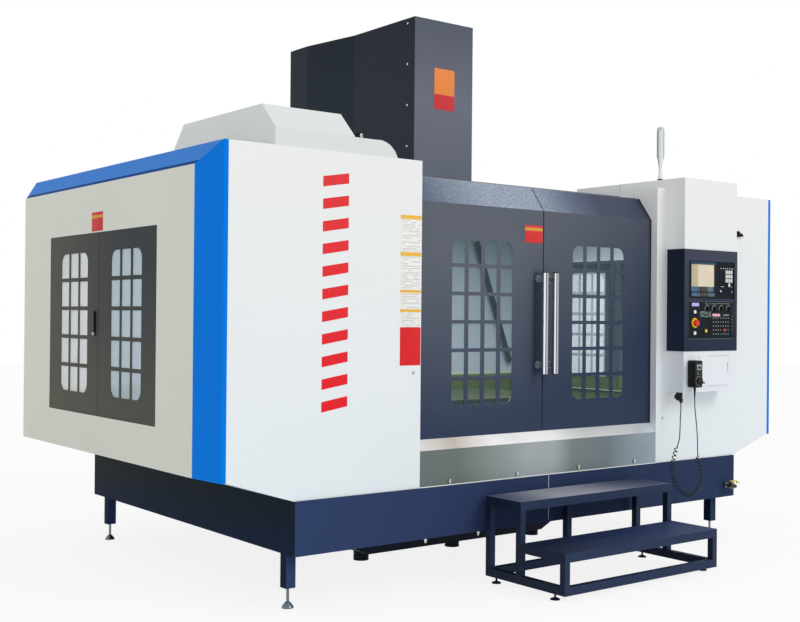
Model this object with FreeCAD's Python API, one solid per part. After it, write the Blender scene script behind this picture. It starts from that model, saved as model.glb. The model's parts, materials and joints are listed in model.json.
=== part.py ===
import FreeCAD, Part
import math
import os
from FreeCAD import Vector

# Moving-table machining centre in its sheet-metal enclosure, millimetres.
# X runs to the right along the front, Y runs back, Z is up, the floor is z = 0.
# The front panels stand in the plane y = 0, and x = 0 is where the two doors meet.

# ---------------------------------------------------------------- shared
sheet = 3.0                  # thickness of the painted sheet
seat_gap = 0.3               # running gap between a moving piece and its seat
enclosure_depth = 2866.0     # front panel face to rear panel face
doorway_half = 1033.0        # half the width of the front doorway
tray_half = 1888.0           # half the width of the chip tray
wing_overhang = 412.0        # how far each wing reaches out past the tray
front_half = tray_half + wing_overhang
spindle_y = 1360.0

# ---------------------------------------------------------------- bed, saddle and table
bed_left = -950.0
bed_right = 770.0
bed_nose_y = 500.0
bed_nose_reach = 244.0       # the nose stands this far in front of the bed's foot
bed_front_y = bed_nose_y + bed_nose_reach
bed_back_gap = 21.0
bed_back_y = enclosure_depth - bed_back_gap
bed_bottom_z = 60.0
bed_nose_z = 330.0
bed_nose_slope = 110.0
bed_top_z = 600.0
bed_end_rise = 45.0
mount_radius = 50.0
mount_inset = 140.0
mount_inset_right = 56.0
mount_middle_x = -40.0
mount_rib = 5.0
mount_ribs = 3
way_offset = 520.0           # ways stand this far each side of x = 0
way_width = 110.0
way_height = 40.0
saddle_half_x = 850.0
saddle_half_y = 400.0
saddle_height = 190.0
saddle_relief = 70.0
saddle_way_inset = 120.0
saddle_way_width = 90.0
saddle_way_height = 19.4
table_half_x = 1100.0
table_half_y = 450.0
table_thickness = 150.0
saddle_top_z = bed_top_z + way_height + seat_gap + saddle_height
table_bottom_z = saddle_top_z + saddle_way_height + seat_gap
table_top_z = table_bottom_z + table_thickness
slot_count = 5
slot_pitch = 160.0
slot_width = 22.0
slot_depth = 38.0
slot_foot_width = 38.0
slot_foot_height = 16.0

# ---------------------------------------------------------------- spindle and head
spindle_clearance = 1080.0   # table to spindle nose with the head at the top
spindle_nose_z = table_top_z + spindle_clearance
spindle_radius = 64.0
spindle_flange_radius = 110.0
spindle_flange_height = 30.0
spindle_taper_radius = 35.0
spindle_taper_depth = 60.0
spindle_bore_depth = 60.0
spindle_reach = 70.0         # spindle nose below the head's underside
head_half = 225.0
head_half_depth = 250.0
head_front_y = spindle_y - head_half_depth
head_nose_back_y = spindle_y + head_half_depth
head_bottom_z = spindle_nose_z + spindle_reach
head_height = 910.0
head_crown_z = head_bottom_z + head_height
head_plate_depth = 55.0
head_plate_rise = 250.0
head_plate_height = 900.0
head_plate_low_z = head_bottom_z + head_plate_rise
head_plate_high_z = head_plate_low_z + head_plate_height
head_neck_step = 35.0
head_travel = 900.0
motor_half = 130.0
motor_height = 420.0

# ---------------------------------------------------------------- tool changer
carousel_x = -740.0
carousel_tool_radius = 330.0
carousel_drop = 48.0         # disc below the spindle nose
carousel_disc_z = spindle_nose_z - carousel_drop
carousel_disc_thickness = 18.0
carousel_tools = 16
carousel_hub_radius = 90.0
carousel_grip_radius = 34.0
carousel_shaft_radius = 30.0
carousel_collar_height = 12.0
carriage_half = 100.0
carriage_lift = 88.0
carriage_low_z = carousel_disc_z + carriage_lift
carriage_height = 140.0
carriage_hook = 30.0
bracket_rail_size = 40.0
bracket_rail_z = carriage_low_z + carriage_height + carriage_hook
bracket_reach = 440.0
bracket_left = carousel_x - bracket_reach
bracket_width = 120.0
bracket_depth = 60.0         # beam's depth below its rail

# ---------------------------------------------------------------- roof and column cover
roof_headroom = 94.0         # tool changer's beam to the middle roof
centre_roof_z = bracket_rail_z + bracket_rail_size + roof_headroom
roof_step = 56.0
roof_z = centre_roof_z + roof_step
centre_roof_front_y = 204.0
hump_inset = 276.0
hump_width = 512.0
hump_left = -front_half + hump_inset
hump_right = hump_left + hump_width
hump_eave = 95.0
hump_height = 235.0
hump_eave_z = roof_z + hump_eave
hump_top_z = roof_z + hump_height
hump_front_slope = 140.0
hump_top_back_y = 1047.0
hump_back_slope = 215.0
hump_back_y = hump_top_back_y + hump_back_slope
cover_height = 90.0
cover_mid_height = 65.0
cover_top_z = roof_z + cover_height
cover_mid_z = roof_z + cover_mid_height
cover_round_reach = 153.0
cover_mid_reach = 250.0
cover_reach = 299.0
cover_round_x = hump_right + cover_round_reach
cover_mid_x = hump_right + cover_mid_reach
cover_end_x = hump_right + cover_reach
cover_back_y = 760.0
column_back_inset = 5.0
column_depth = 530.0
column_back_y = bed_back_y - column_back_inset
column_front_y = column_back_y - column_depth
column_half = 480.0
column_taper = 600.0         # height of the sloping back
column_neck_half = 325.0
column_neck_depth = 220.0
column_neck_back_y = column_front_y + column_neck_depth
column_shoulder_drop = 44.0
column_shoulder_z = centre_roof_z - column_shoulder_drop
tower_headroom = 176.0       # spindle motor to the column cover's top
tower_top_z = head_crown_z + motor_height + tower_headroom
column_top_drop = 136.0
column_top_z = tower_top_z - column_top_drop
column_rail_offset = 170.0
column_rail_width = 60.0
column_rail_height = 12.0
column_rail_spare = 120.0
column_rail_low_z = head_plate_low_z - head_travel - column_rail_spare
column_rail_high_z = column_top_z - column_rail_spare
tie_x = 380.0                # blocks that tie the rear panel to the column
tie_width = 80.0
tie_z = (800.0, 1600.0)
tower_side_margin = 39.0
tower_half = head_half + tower_side_margin
tower_wide_margin = 20.0
tower_wide_half = column_neck_half + tower_wide_margin
tower_front_margin = 301.0
tower_front_y = spindle_y - tower_front_margin
tower_back_margin = 10.0
tower_back_y = column_neck_back_y + tower_back_margin
tower_tail = 240.0
tower_wide_y = tower_back_y - tower_tail
tower_flare = 517.0
tower_straight_y = tower_wide_y - tower_flare

# ---------------------------------------------------------------- chip tray
tray_front_y = -12.0
tray_back_gap = 219.0
tray_back_y = enclosure_depth - tray_back_gap
tray_top_z = 589.0
tray_depth = 295.0
tray_bottom_z = tray_top_z - tray_depth
tray_wall = 5.0
tray_rim_width = 34.0
tray_rim_front = 46.0        # the rim is deeper at the front, where the front panels stand on it
tray_rim_round = 4.5
tray_coaming = 90.0          # wall round the bed inside the tray
bed_clearance = 12.0         # gap between the bed and the sheet steel round it
leg_size = 60.0
leg_bottom_z = 110.0
leg_front_y = 102.0
leg_rear_inset = 207.0
leg_rear_y = tray_back_y - leg_rear_inset
right_leg_inset = 98.0       # the right legs stand further in than the left ones
foot_disc_radius = 33.0
foot_disc_height = 15.0
foot_stem_radius = 8.0

# ---------------------------------------------------------------- side caps
wing_rise = 129.0            # wings' underside above the tray
wing_bottom_z = tray_top_z + wing_rise
front_return = 40.0          # depth of the front panels' folded top edge
cap_out = 52.0               # how far the side face stands out past the front corner
cap_lip = 27.0               # flat blue lip seen from the front
cap_front_bevel = 272.0      # the blue bevel's depth along Y at the front
cap_rear_bevel = 90.0
cap_top_bevel = 102.0        # the blue bevel's height at the top
cap_sheet = 4.0
rear_slope = 210.0           # the roof's rear slope, measured along Y
rear_top_z = roof_z - cap_top_bevel
rear_ridge_y = enclosure_depth - rear_slope
cap_corner = 8.0
side_opening_front = 714.0
side_opening_back_margin = 556.0
side_opening_low_margin = 235.0
side_opening_top_margin = 400.0
side_opening_rear = enclosure_depth - side_opening_back_margin
side_opening_low = wing_bottom_z + side_opening_low_margin
side_opening_high = roof_z - side_opening_top_margin
side_split_offset = 5.0      # the leaves meet this far behind the opening's middle
side_split_y = (side_opening_front + side_opening_rear) / 2 + side_split_offset
side_return = 34.0           # folded return round the opening
leaf_thickness = 25.0
leaf_frame = 30.0
leaf_gap = 4.0
leaf_face_inset = 2.0
leaf_pivot_inset = 5.0
leaf_pin_radius = 3.0
leaf_pin_depth = 12.0
side_window_margin_out = 196.0   # hinge edge of the opening to the window
side_window_margin_in = 185.0    # split to the window
side_window_margin_low = 131.0
side_window_margin_high = 118.0
side_window_low = side_opening_low + side_window_margin_low
side_window_high = side_opening_high - side_window_margin_high
side_window_columns = 3
side_window_rows = 5
side_bar = 24.0
side_window_round = 62.0
pane_thickness = 5.0
pane_overlap = 16.0
latch_y_from_split = 55.0
latch_rise = 488.0           # above the opening's lower edge
latch_height = 159.0
latch_low = side_opening_low + latch_rise
latch_high = latch_low + latch_height
latch_margin = 8.0
latch_plate_width = 36.0
latch_plate_thickness = 4.0
latch_lever_width = 22.0
latch_lever_thickness = 9.0

# ---------------------------------------------------------------- door track, sill, apron
sill_rise = 213.0            # apron's height over the tray
sill_slope = 60.0
sill_front_z = tray_top_z + sill_rise
sill_top_z = sill_front_z + sill_slope
sill_end_y = 60.0
lower_rail_depth = 42.0
lower_rail_height = 62.0
lower_rail_lip = 20.0
upper_rail_height = 58.0
upper_rail_depth = 29.0

# ---------------------------------------------------------------- front doors
door_face_y = 54.0
door_lift = 0.6              # doors hang this far over the sill
door_bottom_z = sill_top_z + door_lift
door_head_gap = 12.0         # doors' top below the middle roof
door_top_z = centre_roof_z - door_head_gap
door_hood_height = 154.0
door_hood_depth = 113.0
door_fold_z = door_top_z - door_hood_height
door_top_y = door_face_y + door_hood_depth
upper_rail_gap = 11.0
upper_rail_front_y = door_top_y + upper_rail_gap
upper_rail_back_y = upper_rail_front_y + upper_rail_depth
door_centre_gap = 3.0
door_overlap = 30.0          # how far a closed door reaches behind its jamb
door_return = 38.0           # depth of the folded door edges
door_hanger_depth = 34.0
door_travel = 940.0
rail_spare = 27.0
rail_half = doorway_half + door_overlap + door_travel + rail_spare
jamb_gap = 3.0
window_inner = 266.0         # window's edge, measured from the middle of the machine
window_outer_margin = 278.0
window_outer = doorway_half - window_outer_margin
window_low_margin = 188.4
window_high_margin = 208.0
window_low = door_bottom_z + window_low_margin
window_high = door_fold_z - window_high_margin
window_columns = 4
window_rows = 6
window_bar_wide = 31.0       # upright bars
window_bar_thin = 22.0       # level bars
window_round = 58.0
handle_x = 46.0
handle_radius = 20.0
handle_rise = 355.4          # above the door's lower edge
handle_length = 650.0
handle_low = door_bottom_z + handle_rise
handle_high = handle_low + handle_length
handle_reach = 67.0          # tube's axis in front of the door's face
handle_post_low = handle_low + 63.0
handle_post_high = handle_high - 43.0
handle_post_radius = 16.0
handle_foot_radius = 23.0
handle_foot_height = 8.0

# ---------------------------------------------------------------- console
console_inset = 111.0        # doorway's edge to the console
console_width = 576.0
console_left = doorway_half + console_inset
console_right = console_left + console_width
console_front_y = -146.0
console_bottom_z = 1075.0
console_rise = 65.0
console_top_z = roof_z + console_rise
band_back_y = 865.0
fascia_rise = 282.0
fascia_height = 701.0
fascia_low_z = console_bottom_z + fascia_rise
fascia_high_z = fascia_low_z + fascia_height
fascia_proud = 4.0
fascia_wall = 12.0
unit_side_margin = 44.0
unit_width = 504.0
unit_left = console_left + unit_side_margin
unit_right = unit_left + unit_width
display_rise = 365.0
display_low_z = fascia_low_z + display_rise
display_height = 258.0
display_high_z = display_low_z + display_height
controls_low_z = fascia_low_z + 79.0
controls_height = 272.0
controls_high_z = controls_low_z + controls_height
unit_recess = 6.0
unit_backing = 8.0
screen_left = unit_left + 34.0
screen_width = 252.0
screen_right = screen_left + screen_width
screen_low_z = display_low_z + 46.0
screen_high_z = display_high_z - 22.0
screen_recess = 4.0
keypad_right = unit_right - 16.0
keypad_width = 150.0
keypad_left = keypad_right - keypad_width
keypad_columns = 6
keypad_rows = 7
keypad_margin = 24.0
key_gap = 5.0
key_proud = 2.0
grid_inset = 236.0
grid_left = unit_left + grid_inset
grid_columns = 4
grid_rows = 5
grid_pitch_x = 32.0
grid_pitch_z = 30.0
grid_key_width = 24.0
grid_key_height = 20.0
knob_z = controls_high_z - 56.0
knob_inset = 205.0
knob_steps = (80.0, 76.0, 82.0)
knob_second_x = unit_left + knob_inset + knob_steps[0]
knob_third_x = knob_second_x + knob_steps[1]
knob_places = (unit_left + knob_inset, knob_second_x, knob_third_x, knob_third_x + knob_steps[2])
knob_radius = 17.0
knob_height = 16.0
knob_grip_height = 9.0
knob_grip_width = 8.0
stop_inset = 75.0
stop_rise = 116.0
stop_x = unit_left + stop_inset
stop_z = controls_low_z + stop_rise
stop_cap_radius = 24.0
stop_ring_radius = 33.0
stop_ring_height = 2.5
stop_lift = 7.0
stop_stem_radius = 11.0
stop_sink = 8.0              # how far the stop's stem reaches into its hole
stop_travel = 5.0
key_inset = 68.0
key_rise = 192.0
key_x = unit_left + key_inset
key_z = controls_low_z + key_rise
lamp_button_rise = 46.0
lamp_button_x = key_x
lamp_button_z = controls_low_z + lamp_button_rise
start_inset = 190.0
start_rise = 61.0
start_x = unit_left + start_inset
start_z = controls_low_z + start_rise
halt_inset = 392.0
halt_rise = 66.0
halt_x = unit_left + halt_inset
halt_z = controls_low_z + halt_rise
button_radius = 12.0
button_bezel_radius = 16.0
button_bezel_height = 3.0
button_height = 9.0
button_sink = 4.0            # how far a button reaches into its hole
button_travel = 3.0
flap_left = console_left + 169.0
flap_width = 332.0
flap_right = flap_left + flap_width
flap_low_z = console_bottom_z + 36.0
flap_height = 213.0
flap_high_z = flap_low_z + flap_height
flap_margin = 12.0
flap_pull_height = 70.0
flap_pull_drop = 39.0        # below the flap's upper edge
pocket_depth = 86.0
lamp_x = console_left + 36.0
lamp_y = 100.0
lamp_radius = 26.0
lamp_height = 376.0

# ---------------------------------------------------------------- pendant and its curly cable
pendant_left = console_left + 39.0
pendant_width = 76.0
pendant_low_z = console_bottom_z + 37.0
pendant_height = 184.0
pendant_high_z = pendant_low_z + pendant_height
pendant_depth = 62.0
pendant_holder_depth = 5.0
pendant_corner = 14.0
handwheel_z = pendant_low_z + 44.0
handwheel_radius = 27.0
handwheel_height = 15.0
selector_z = (pendant_low_z + 100.0, pendant_low_z + 136.0)
selector_radius = 8.0
cable_diameter = 7.0
curl_radius = 11.5           # helix axis to wire axis
curl_count = 27
plug_radius = 13.0
cable_drop = 65.0            # length of the strain relief
cable_x = pendant_left + pendant_width / 2
cable_y = console_front_y - pendant_holder_depth - pendant_depth / 2 + 2
cable_exit = Vector(cable_x, cable_y, pendant_low_z - cable_drop)


def from_exit(places):
    return [cable_exit + Vector(x, y, z) for x, y, z in places]


# places along the cable, from where it leaves the strain relief
cable_run = from_exit([(0, 0, 0), (0, 0, -62), (17, 2, -145), (34, 5, -232), (45, 8, -318), (49, 10, -396)])
curl_run = from_exit([(49, 10, -396), (51.67, 11.33, -448), (87, 12, -512), (97, 13, -587), (60, 17, -651),
                      (-6, 22, -677), (-81, 29, -662), (-143, 35, -611), (-177, 40, -542), (-178, 44, -462),
                      (-151, 48, -392), (-115, 52, -334)])
plug_run = from_exit([(-115, 52, -334), (-88, 55, -290.5), (-79, 59, -211), (-73, 62, -142),
                      (-61, 68, -92), (-61, 68, -47)])

# ---------------------------------------------------------------- drain valve
valve_inset = 103.0
valve_rise = 86.0
valve_x = tray_half - valve_inset
valve_z = tray_bottom_z + valve_rise
valve_pipe_radius = 13.0
valve_reach = 58.0
valve_spout = 18.0
valve_bore_radius = 9.0
valve_ball_half = 19.0
valve_ball_radius = 21.0
lever_length = 96.0
lever_width = 18.0
lever_thickness = 4.0
lever_drop = 16.0            # step down from the hub to the hand end

# ---------------------------------------------------------------- step platform
step_left = -563.0
step_width = 1341.0
step_right = step_left + step_width
step_back_y = -50.0
step_tread_depth = 300.0
step_length = 658.0
step_front_y = step_back_y - step_length
step_high_z = 512.0
step_low_z = 272.0
step_tube = 40.0
step_rail_height = 48.0
step_rail_low_z = 35.0
step_plate = 4.0
step_foot_radius = 28.0
step_foot_back = 75.0
step_foot_front = 95.0

# ---------------------------------------------------------------- cabinet at the back
cabinet_left = 420.0
cabinet_width = 1400.0
cabinet_right = cabinet_left + cabinet_width
cabinet_depth = 380.0
cabinet_low_z = 640.0
cabinet_height = 1620.0
cabinet_high_z = cabinet_low_z + cabinet_height
cabinet_door = 22.0
cabinet_door_margin = 10.0
cabinet_door_gap = 4.0
cabinet_pull_width = 28.0
cabinet_pull_depth = 14.0
cabinet_pull_height = 150.0


# ================================================================ shape helpers
def box(x0, x1, y0, y1, z0, z1):
    return Part.makeBox(x1 - x0, y1 - y0, z1 - z0, Vector(x0, y0, z0))


def cylinder(x, y, z, radius, height, axis=Vector(0, 0, 1)):
    return Part.makeCylinder(radius, height, Vector(x, y, z), axis)


def prism(points, push):
    face = Part.Face(Part.makePolygon(points + [points[0]]))
    return face.extrude(push)


def prism_x(yz, x0, x1):
    return prism([Vector(x0, y, z) for y, z in yz], Vector(x1 - x0, 0, 0))


def prism_y(xz, y0, y1):
    return prism([Vector(x, y0, z) for x, z in xz], Vector(0, y1 - y0, 0))


def prism_z(xy, z0, z1):
    return prism([Vector(x, y, z0) for x, y in xy], Vector(0, 0, z1 - z0))


def revolve(radii_heights, base, axis):
    """Solid of revolution of a (radius, height) outline about an axis through base."""
    side = Vector(1, 0, 0) if abs(axis.x) < 0.5 else Vector(0, 1, 0)
    points = [base + side * r + axis * h for r, h in radii_heights]
    face = Part.Face(Part.makePolygon(points + [points[0]]))
    return face.revolve(base, axis, 360)


def mirrored(shape):
    return shape.mirror(Vector(0, 0, 0), Vector(1, 0, 0))


def fused(shapes):
    result = shapes[0].fuse(shapes[1:])
    return result.removeSplitter()


def group(shapes):
    return Part.makeCompound(shapes)


def window_cutters(low, high, inner, outer, columns, rows, wide, thin, corner, span):
    """Cells of a barred window in the plane of a panel: rounded at the window's four corners.

    low and high bound the window's height, inner and outer its width, span is (start, end) through the
    panel. The result lies in the X-Z plane and runs along Y.
    """
    full = box(inner, outer, span[0], span[1], low, high)
    upright = [e for e in full.Edges if abs(e.tangentAt(e.FirstParameter).y) > 0.5]
    full = full.makeFillet(corner, upright)
    cell_wide = (outer - inner - wide * (columns - 1)) / columns
    cell_high = (high - low - thin * (rows - 1)) / rows
    cells = []
    for column in range(columns):
        x0 = inner + column * (cell_wide + wide)
        for row in range(rows):
            z0 = low + row * (cell_high + thin)
            cell = box(x0, x0 + cell_wide, span[0], span[1], z0, z0 + cell_high)
            corner_cell = column in (0, columns - 1) and row in (0, rows - 1)
            cells.append(cell.common(full) if corner_cell else cell)
    return cells


# ================================================================ bed and machine
def make_bed():
    """Bed casting: a foot that tapers up at its ends, a nose under the saddle and two raised ways."""
    side = [(bed_front_y, bed_bottom_z), (bed_front_y, bed_nose_z - bed_nose_slope), (bed_nose_y, bed_nose_z),
            (bed_nose_y, bed_top_z), (bed_back_y, bed_top_z), (bed_back_y, bed_bottom_z)]
    body = prism_x(side, bed_left, bed_right)
    end_cuts = []
    for end, inward in ((bed_left, 1), (bed_right, -1)):
        taper_end = end + inward * 2 * bed_end_rise
        outline = [(end - inward, bed_bottom_z - 1), (taper_end, bed_bottom_z - 1),
                   (taper_end, bed_bottom_z), (end - inward, bed_bottom_z + bed_end_rise)]
        end_cuts.append(prism_y(outline, bed_nose_y - 1, bed_back_y + 1))
    body = body.cut(end_cuts)
    ways = []
    for centre in (-way_offset, way_offset):
        ways.append(box(centre - way_width / 2, centre + way_width / 2, bed_nose_y, column_front_y,
                        bed_top_z, bed_top_z + way_height))
    body = fused([body] + ways)
    mounts = []
    rows = (bed_front_y + mount_inset, (bed_front_y + bed_back_y) / 2, bed_back_y - mount_inset)
    for x in (bed_left + mount_inset, mount_middle_x, bed_right - mount_inset_right):
        for y in rows:
            mounts.append(make_mount(x, y))
    return group([body] + mounts)


def make_mount(x, y):
    """Levelling mount: a round pad with ribs, the full height between floor and bed."""
    height = bed_bottom_z
    outline = [(0, 0)]
    for rib in range(mount_ribs):
        z = height * rib / mount_ribs
        outline += [(mount_radius, z), (mount_radius, z + height / mount_ribs * 0.6),
                    (mount_radius - mount_rib, z + height / mount_ribs * 0.7),
                    (mount_radius - mount_rib, z + height / mount_ribs * 0.95)]
    outline += [(mount_radius - mount_rib, height), (0, height)]
    return revolve(outline, Vector(x, y, 0), Vector(0, 0, 1))


def make_column():
    """Column casting with a wide foot, a narrow top, two guide rails and the tool changer's beam."""
    foot = prism_x([(column_front_y, bed_top_z), (column_front_y, column_shoulder_z),
                    (column_neck_back_y, column_shoulder_z),
                    (column_back_y, column_shoulder_z - column_taper),
                    (column_back_y, bed_top_z)], -column_half, column_half)
    neck = box(-column_neck_half, column_neck_half, column_front_y, column_neck_back_y,
               column_shoulder_z, column_top_z)
    rails = []
    for centre in (-column_rail_offset, column_rail_offset):
        rails.append(box(centre - column_rail_width / 2, centre + column_rail_width / 2,
                         column_front_y - column_rail_height, column_front_y,
                         column_rail_low_z, column_rail_high_z))
    beam_front = spindle_y + carriage_half + seat_gap
    beam_low = bracket_rail_z - bracket_depth
    beam_high = bracket_rail_z + bracket_rail_size
    beam = box(bracket_left, bracket_left + bracket_width, beam_front, column_front_y + bracket_width,
               beam_low, beam_high)
    cross = box(bracket_left, -column_half, column_front_y, column_front_y + bracket_width,
                beam_low, beam_high)
    rail = box(bracket_left, carousel_x + carriage_half + carousel_travel(),
               beam_front, beam_front + bracket_rail_size, beam_low, beam_high)
    brace = prism_z([(-column_half - bracket_width, column_front_y), (-column_half, column_front_y),
                     (carousel_x + carriage_half + 40, beam_front + bracket_rail_size),
                     (carousel_x + carriage_half - 60, beam_front + bracket_rail_size)],
                    beam_low, beam_high)
    ties = []
    for x in (-tie_x, tie_x - tie_width):
        for z in tie_z:
            ties.append(box(x, x + tie_width, column_back_y, enclosure_depth - sheet, z, z + tie_width))
    return fused([foot, neck] + rails + [beam, cross, rail, brace] + ties)


def carousel_travel():
    """Slide that brings a tool place on the carousel under the spindle."""
    return -carousel_x - carousel_tool_radius


def make_saddle():
    """Saddle casting riding on the bed ways, with its own ways across for the table."""
    low = bed_top_z + way_height + seat_gap
    top = low + saddle_height
    body = box(-saddle_half_x, saddle_half_x, spindle_y - saddle_half_y, spindle_y + saddle_half_y, low, top)
    relief = box(-way_offset + way_width / 2 + 60, way_offset - way_width / 2 - 60,
                 spindle_y - saddle_half_y, spindle_y + saddle_half_y, low, low + saddle_relief)
    body = body.cut(relief)
    ways = []
    middle = saddle_half_y - saddle_way_inset
    half = saddle_way_width / 2
    for y in (spindle_y - middle, spindle_y + middle):
        ways.append(box(-saddle_half_x, saddle_half_x, y - half, y + half, top, top + saddle_way_height))
    return fused([body] + ways)


def make_table():
    """Work table with T-slots along its length."""
    body = box(-table_half_x, table_half_x, spindle_y - table_half_y, spindle_y + table_half_y,
               table_top_z - table_thickness, table_top_z)
    cuts = []
    for index in range(slot_count):
        y = spindle_y + (index - (slot_count - 1) / 2) * slot_pitch
        neck = slot_width / 2
        foot = slot_foot_width / 2
        deep = table_top_z - slot_depth
        shoulder = deep + slot_foot_height
        outline = [(y - neck, table_top_z + 1), (y - neck, shoulder), (y - foot, shoulder), (y - foot, deep),
                   (y + foot, deep), (y + foot, shoulder), (y + neck, shoulder), (y + neck, table_top_z + 1)]
        cuts.append(prism_x(outline, -table_half_x - 1, table_half_x + 1))
    return body.cut(cuts)


def make_head():
    """Spindle head: nose box, sloping neck back to its guide plate, motor on top."""
    plate_back = column_front_y - column_rail_height - seat_gap
    plate_front = plate_back - head_plate_depth
    nose = box(-head_half, head_half, head_front_y, head_nose_back_y, head_bottom_z, head_crown_z)
    neck = prism_x([(head_nose_back_y, head_bottom_z + 60), (plate_front, head_plate_low_z),
                    (plate_front, head_plate_high_z), (head_nose_back_y, head_crown_z)],
                   -head_half + head_neck_step, head_half - head_neck_step)
    plate = box(-head_half, head_half, plate_front, plate_back, head_plate_low_z, head_plate_high_z)
    motor = box(-motor_half, motor_half, spindle_y - motor_half, spindle_y + motor_half,
                head_crown_z, head_crown_z + motor_height)
    boss = cylinder(0, spindle_y, head_bottom_z - spindle_flange_height, spindle_flange_radius,
                    spindle_flange_height)
    bore_low = head_bottom_z - spindle_flange_height - 1
    bore = cylinder(0, spindle_y, bore_low, spindle_radius + seat_gap,
                    head_bottom_z + spindle_bore_depth - bore_low)
    return fused([nose, neck, plate, motor, boss]).cut(bore)


def make_spindle():
    """Spindle nose with its taper mouth and two drive keys, seated in the head's bore."""
    height = head_bottom_z + spindle_bore_depth - seat_gap - spindle_nose_z
    outline = [(spindle_taper_radius, 0), (spindle_radius - 6, 0), (spindle_radius, 6),
               (spindle_radius, height), (0, height), (0, spindle_taper_depth),
               (spindle_taper_radius * 0.6, spindle_taper_depth)]
    return revolve(outline, Vector(0, spindle_y, spindle_nose_z), Vector(0, 0, 1))


def make_carriage():
    """Carriage that carries the tool carousel along its rail, with the carousel's shaft."""
    high = carriage_low_z + carriage_height
    body = box(carousel_x - carriage_half, carousel_x + carriage_half,
               spindle_y - carriage_half, spindle_y + carriage_half, carriage_low_z, high)
    hook_front = spindle_y + carriage_half
    back = hook_front - carriage_hook
    rail_top = bracket_rail_z + bracket_rail_size
    hook = box(carousel_x - carriage_half, carousel_x + carriage_half, back, hook_front,
               high, rail_top + carriage_hook)
    cap = box(carousel_x - carriage_half, carousel_x + carriage_half, back,
              hook_front + seat_gap + bracket_rail_size,
              rail_top + seat_gap, rail_top + carriage_hook)
    collar_bottom = carousel_disc_z - seat_gap - carousel_collar_height
    shaft_length = carriage_low_z - collar_bottom
    shaft = cylinder(carousel_x, spindle_y, collar_bottom, carousel_shaft_radius, shaft_length)
    collar = cylinder(carousel_x, spindle_y, collar_bottom, carousel_shaft_radius * 2, carousel_collar_height)
    return fused([body, hook, cap, shaft, collar])


def make_carousel():
    """Carousel disc with open tool places round its rim and a hub round the carriage's shaft."""
    disc = cylinder(carousel_x, spindle_y, carousel_disc_z, carousel_tool_radius + carousel_grip_radius * 0.4,
                    carousel_disc_thickness)
    hub_top = carriage_low_z - seat_gap
    hub = cylinder(carousel_x, spindle_y, carousel_disc_z, carousel_hub_radius, hub_top - carousel_disc_z)
    disc = disc.fuse(hub)
    cuts = [cylinder(carousel_x, spindle_y, carousel_disc_z - 10, carousel_shaft_radius + seat_gap,
                     hub_top - carousel_disc_z + 20)]
    for index in range(carousel_tools):
        angle = 2 * math.pi * index / carousel_tools
        x = carousel_x + carousel_tool_radius * math.cos(angle)
        y = spindle_y + carousel_tool_radius * math.sin(angle)
        cuts.append(cylinder(x, y, carousel_disc_z - 1, carousel_grip_radius, carousel_disc_thickness + 2))
    return disc.cut(cuts)


# ================================================================ tray and steelwork
def make_tray():
    """Chip tray welded round three sides of the bed: walls with a rounded rim, floors and four legs."""
    pieces = []
    left, right = -tray_half, tray_half
    floor_top = tray_bottom_z + tray_wall
    rim_low = tray_top_z - tray_wall
    inner_left = left + tray_wall
    inner_right = right - tray_wall
    inner_front = tray_front_y + tray_wall
    inner_back = tray_back_y - tray_wall
    front = box(left, right, tray_front_y, inner_front, tray_bottom_z, tray_top_z)
    pieces.append(rounded_rim(front, tray_front_y))
    pieces.append(box(left, inner_left, inner_front, inner_back, tray_bottom_z, rim_low))
    pieces.append(box(inner_right, right, inner_front, inner_back, tray_bottom_z, rim_low))
    hole_left = bed_left - bed_clearance
    hole_right = bed_right + bed_clearance
    hole_front = bed_nose_y - bed_clearance
    for x0, x1 in ((left, hole_left), (hole_right, right)):
        pieces.append(box(x0, x1, inner_back, tray_back_y, tray_bottom_z, rim_low))
    pieces.append(box(inner_left, hole_left, inner_front, inner_back, tray_bottom_z, floor_top))
    pieces.append(box(hole_right, inner_right, inner_front, inner_back, tray_bottom_z, floor_top))
    pieces.append(box(hole_left, hole_right, inner_front, hole_front, tray_bottom_z, floor_top))
    coaming_top = floor_top + tray_coaming
    coaming_left = hole_left - tray_wall
    coaming_right = hole_right + tray_wall
    pieces.append(box(coaming_left, hole_left, hole_front, inner_back, floor_top, coaming_top))
    pieces.append(box(hole_right, coaming_right, hole_front, inner_back, floor_top, coaming_top))
    pieces.append(box(coaming_left, coaming_right, hole_front - tray_wall, hole_front,
                      floor_top, coaming_top))
    rim_left = left + tray_rim_width
    rim_right = right - tray_rim_width
    for x0, x1 in ((left, rim_left), (rim_right, right)):
        pieces.append(box(x0, x1, inner_front, tray_back_y, rim_low, tray_top_z))
    rim_back = tray_front_y + tray_rim_front
    pieces.append(box(rim_left, rim_right, inner_front, rim_back, rim_low, tray_top_z))
    for x0, x1 in ((rim_left, hole_left), (hole_right, rim_right)):
        pieces.append(box(x0, x1, tray_back_y - tray_rim_width, tray_back_y, rim_low, tray_top_z))
    for x, y in leg_places():
        pieces.append(box(x - leg_size / 2, x + leg_size / 2, y - leg_size / 2, y + leg_size / 2,
                          leg_bottom_z, tray_bottom_z))
    return fused(pieces)


def rounded_rim(wall, face_y):
    """Rounds the top outer edge of a tray wall that stands at face_y."""
    edges = [e for e in wall.Edges
             if abs(e.CenterOfMass.y - face_y) < 0.01 and abs(e.CenterOfMass.z - tray_top_z) < 0.01]
    return wall.makeFillet(tray_rim_round, edges)


def leg_places():
    left_x = -tray_half + leg_size / 2
    right_x = tray_half - right_leg_inset - leg_size / 2
    return [(left_x, leg_front_y), (left_x, leg_rear_y), (right_x, leg_front_y), (right_x, leg_rear_y)]


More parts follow.
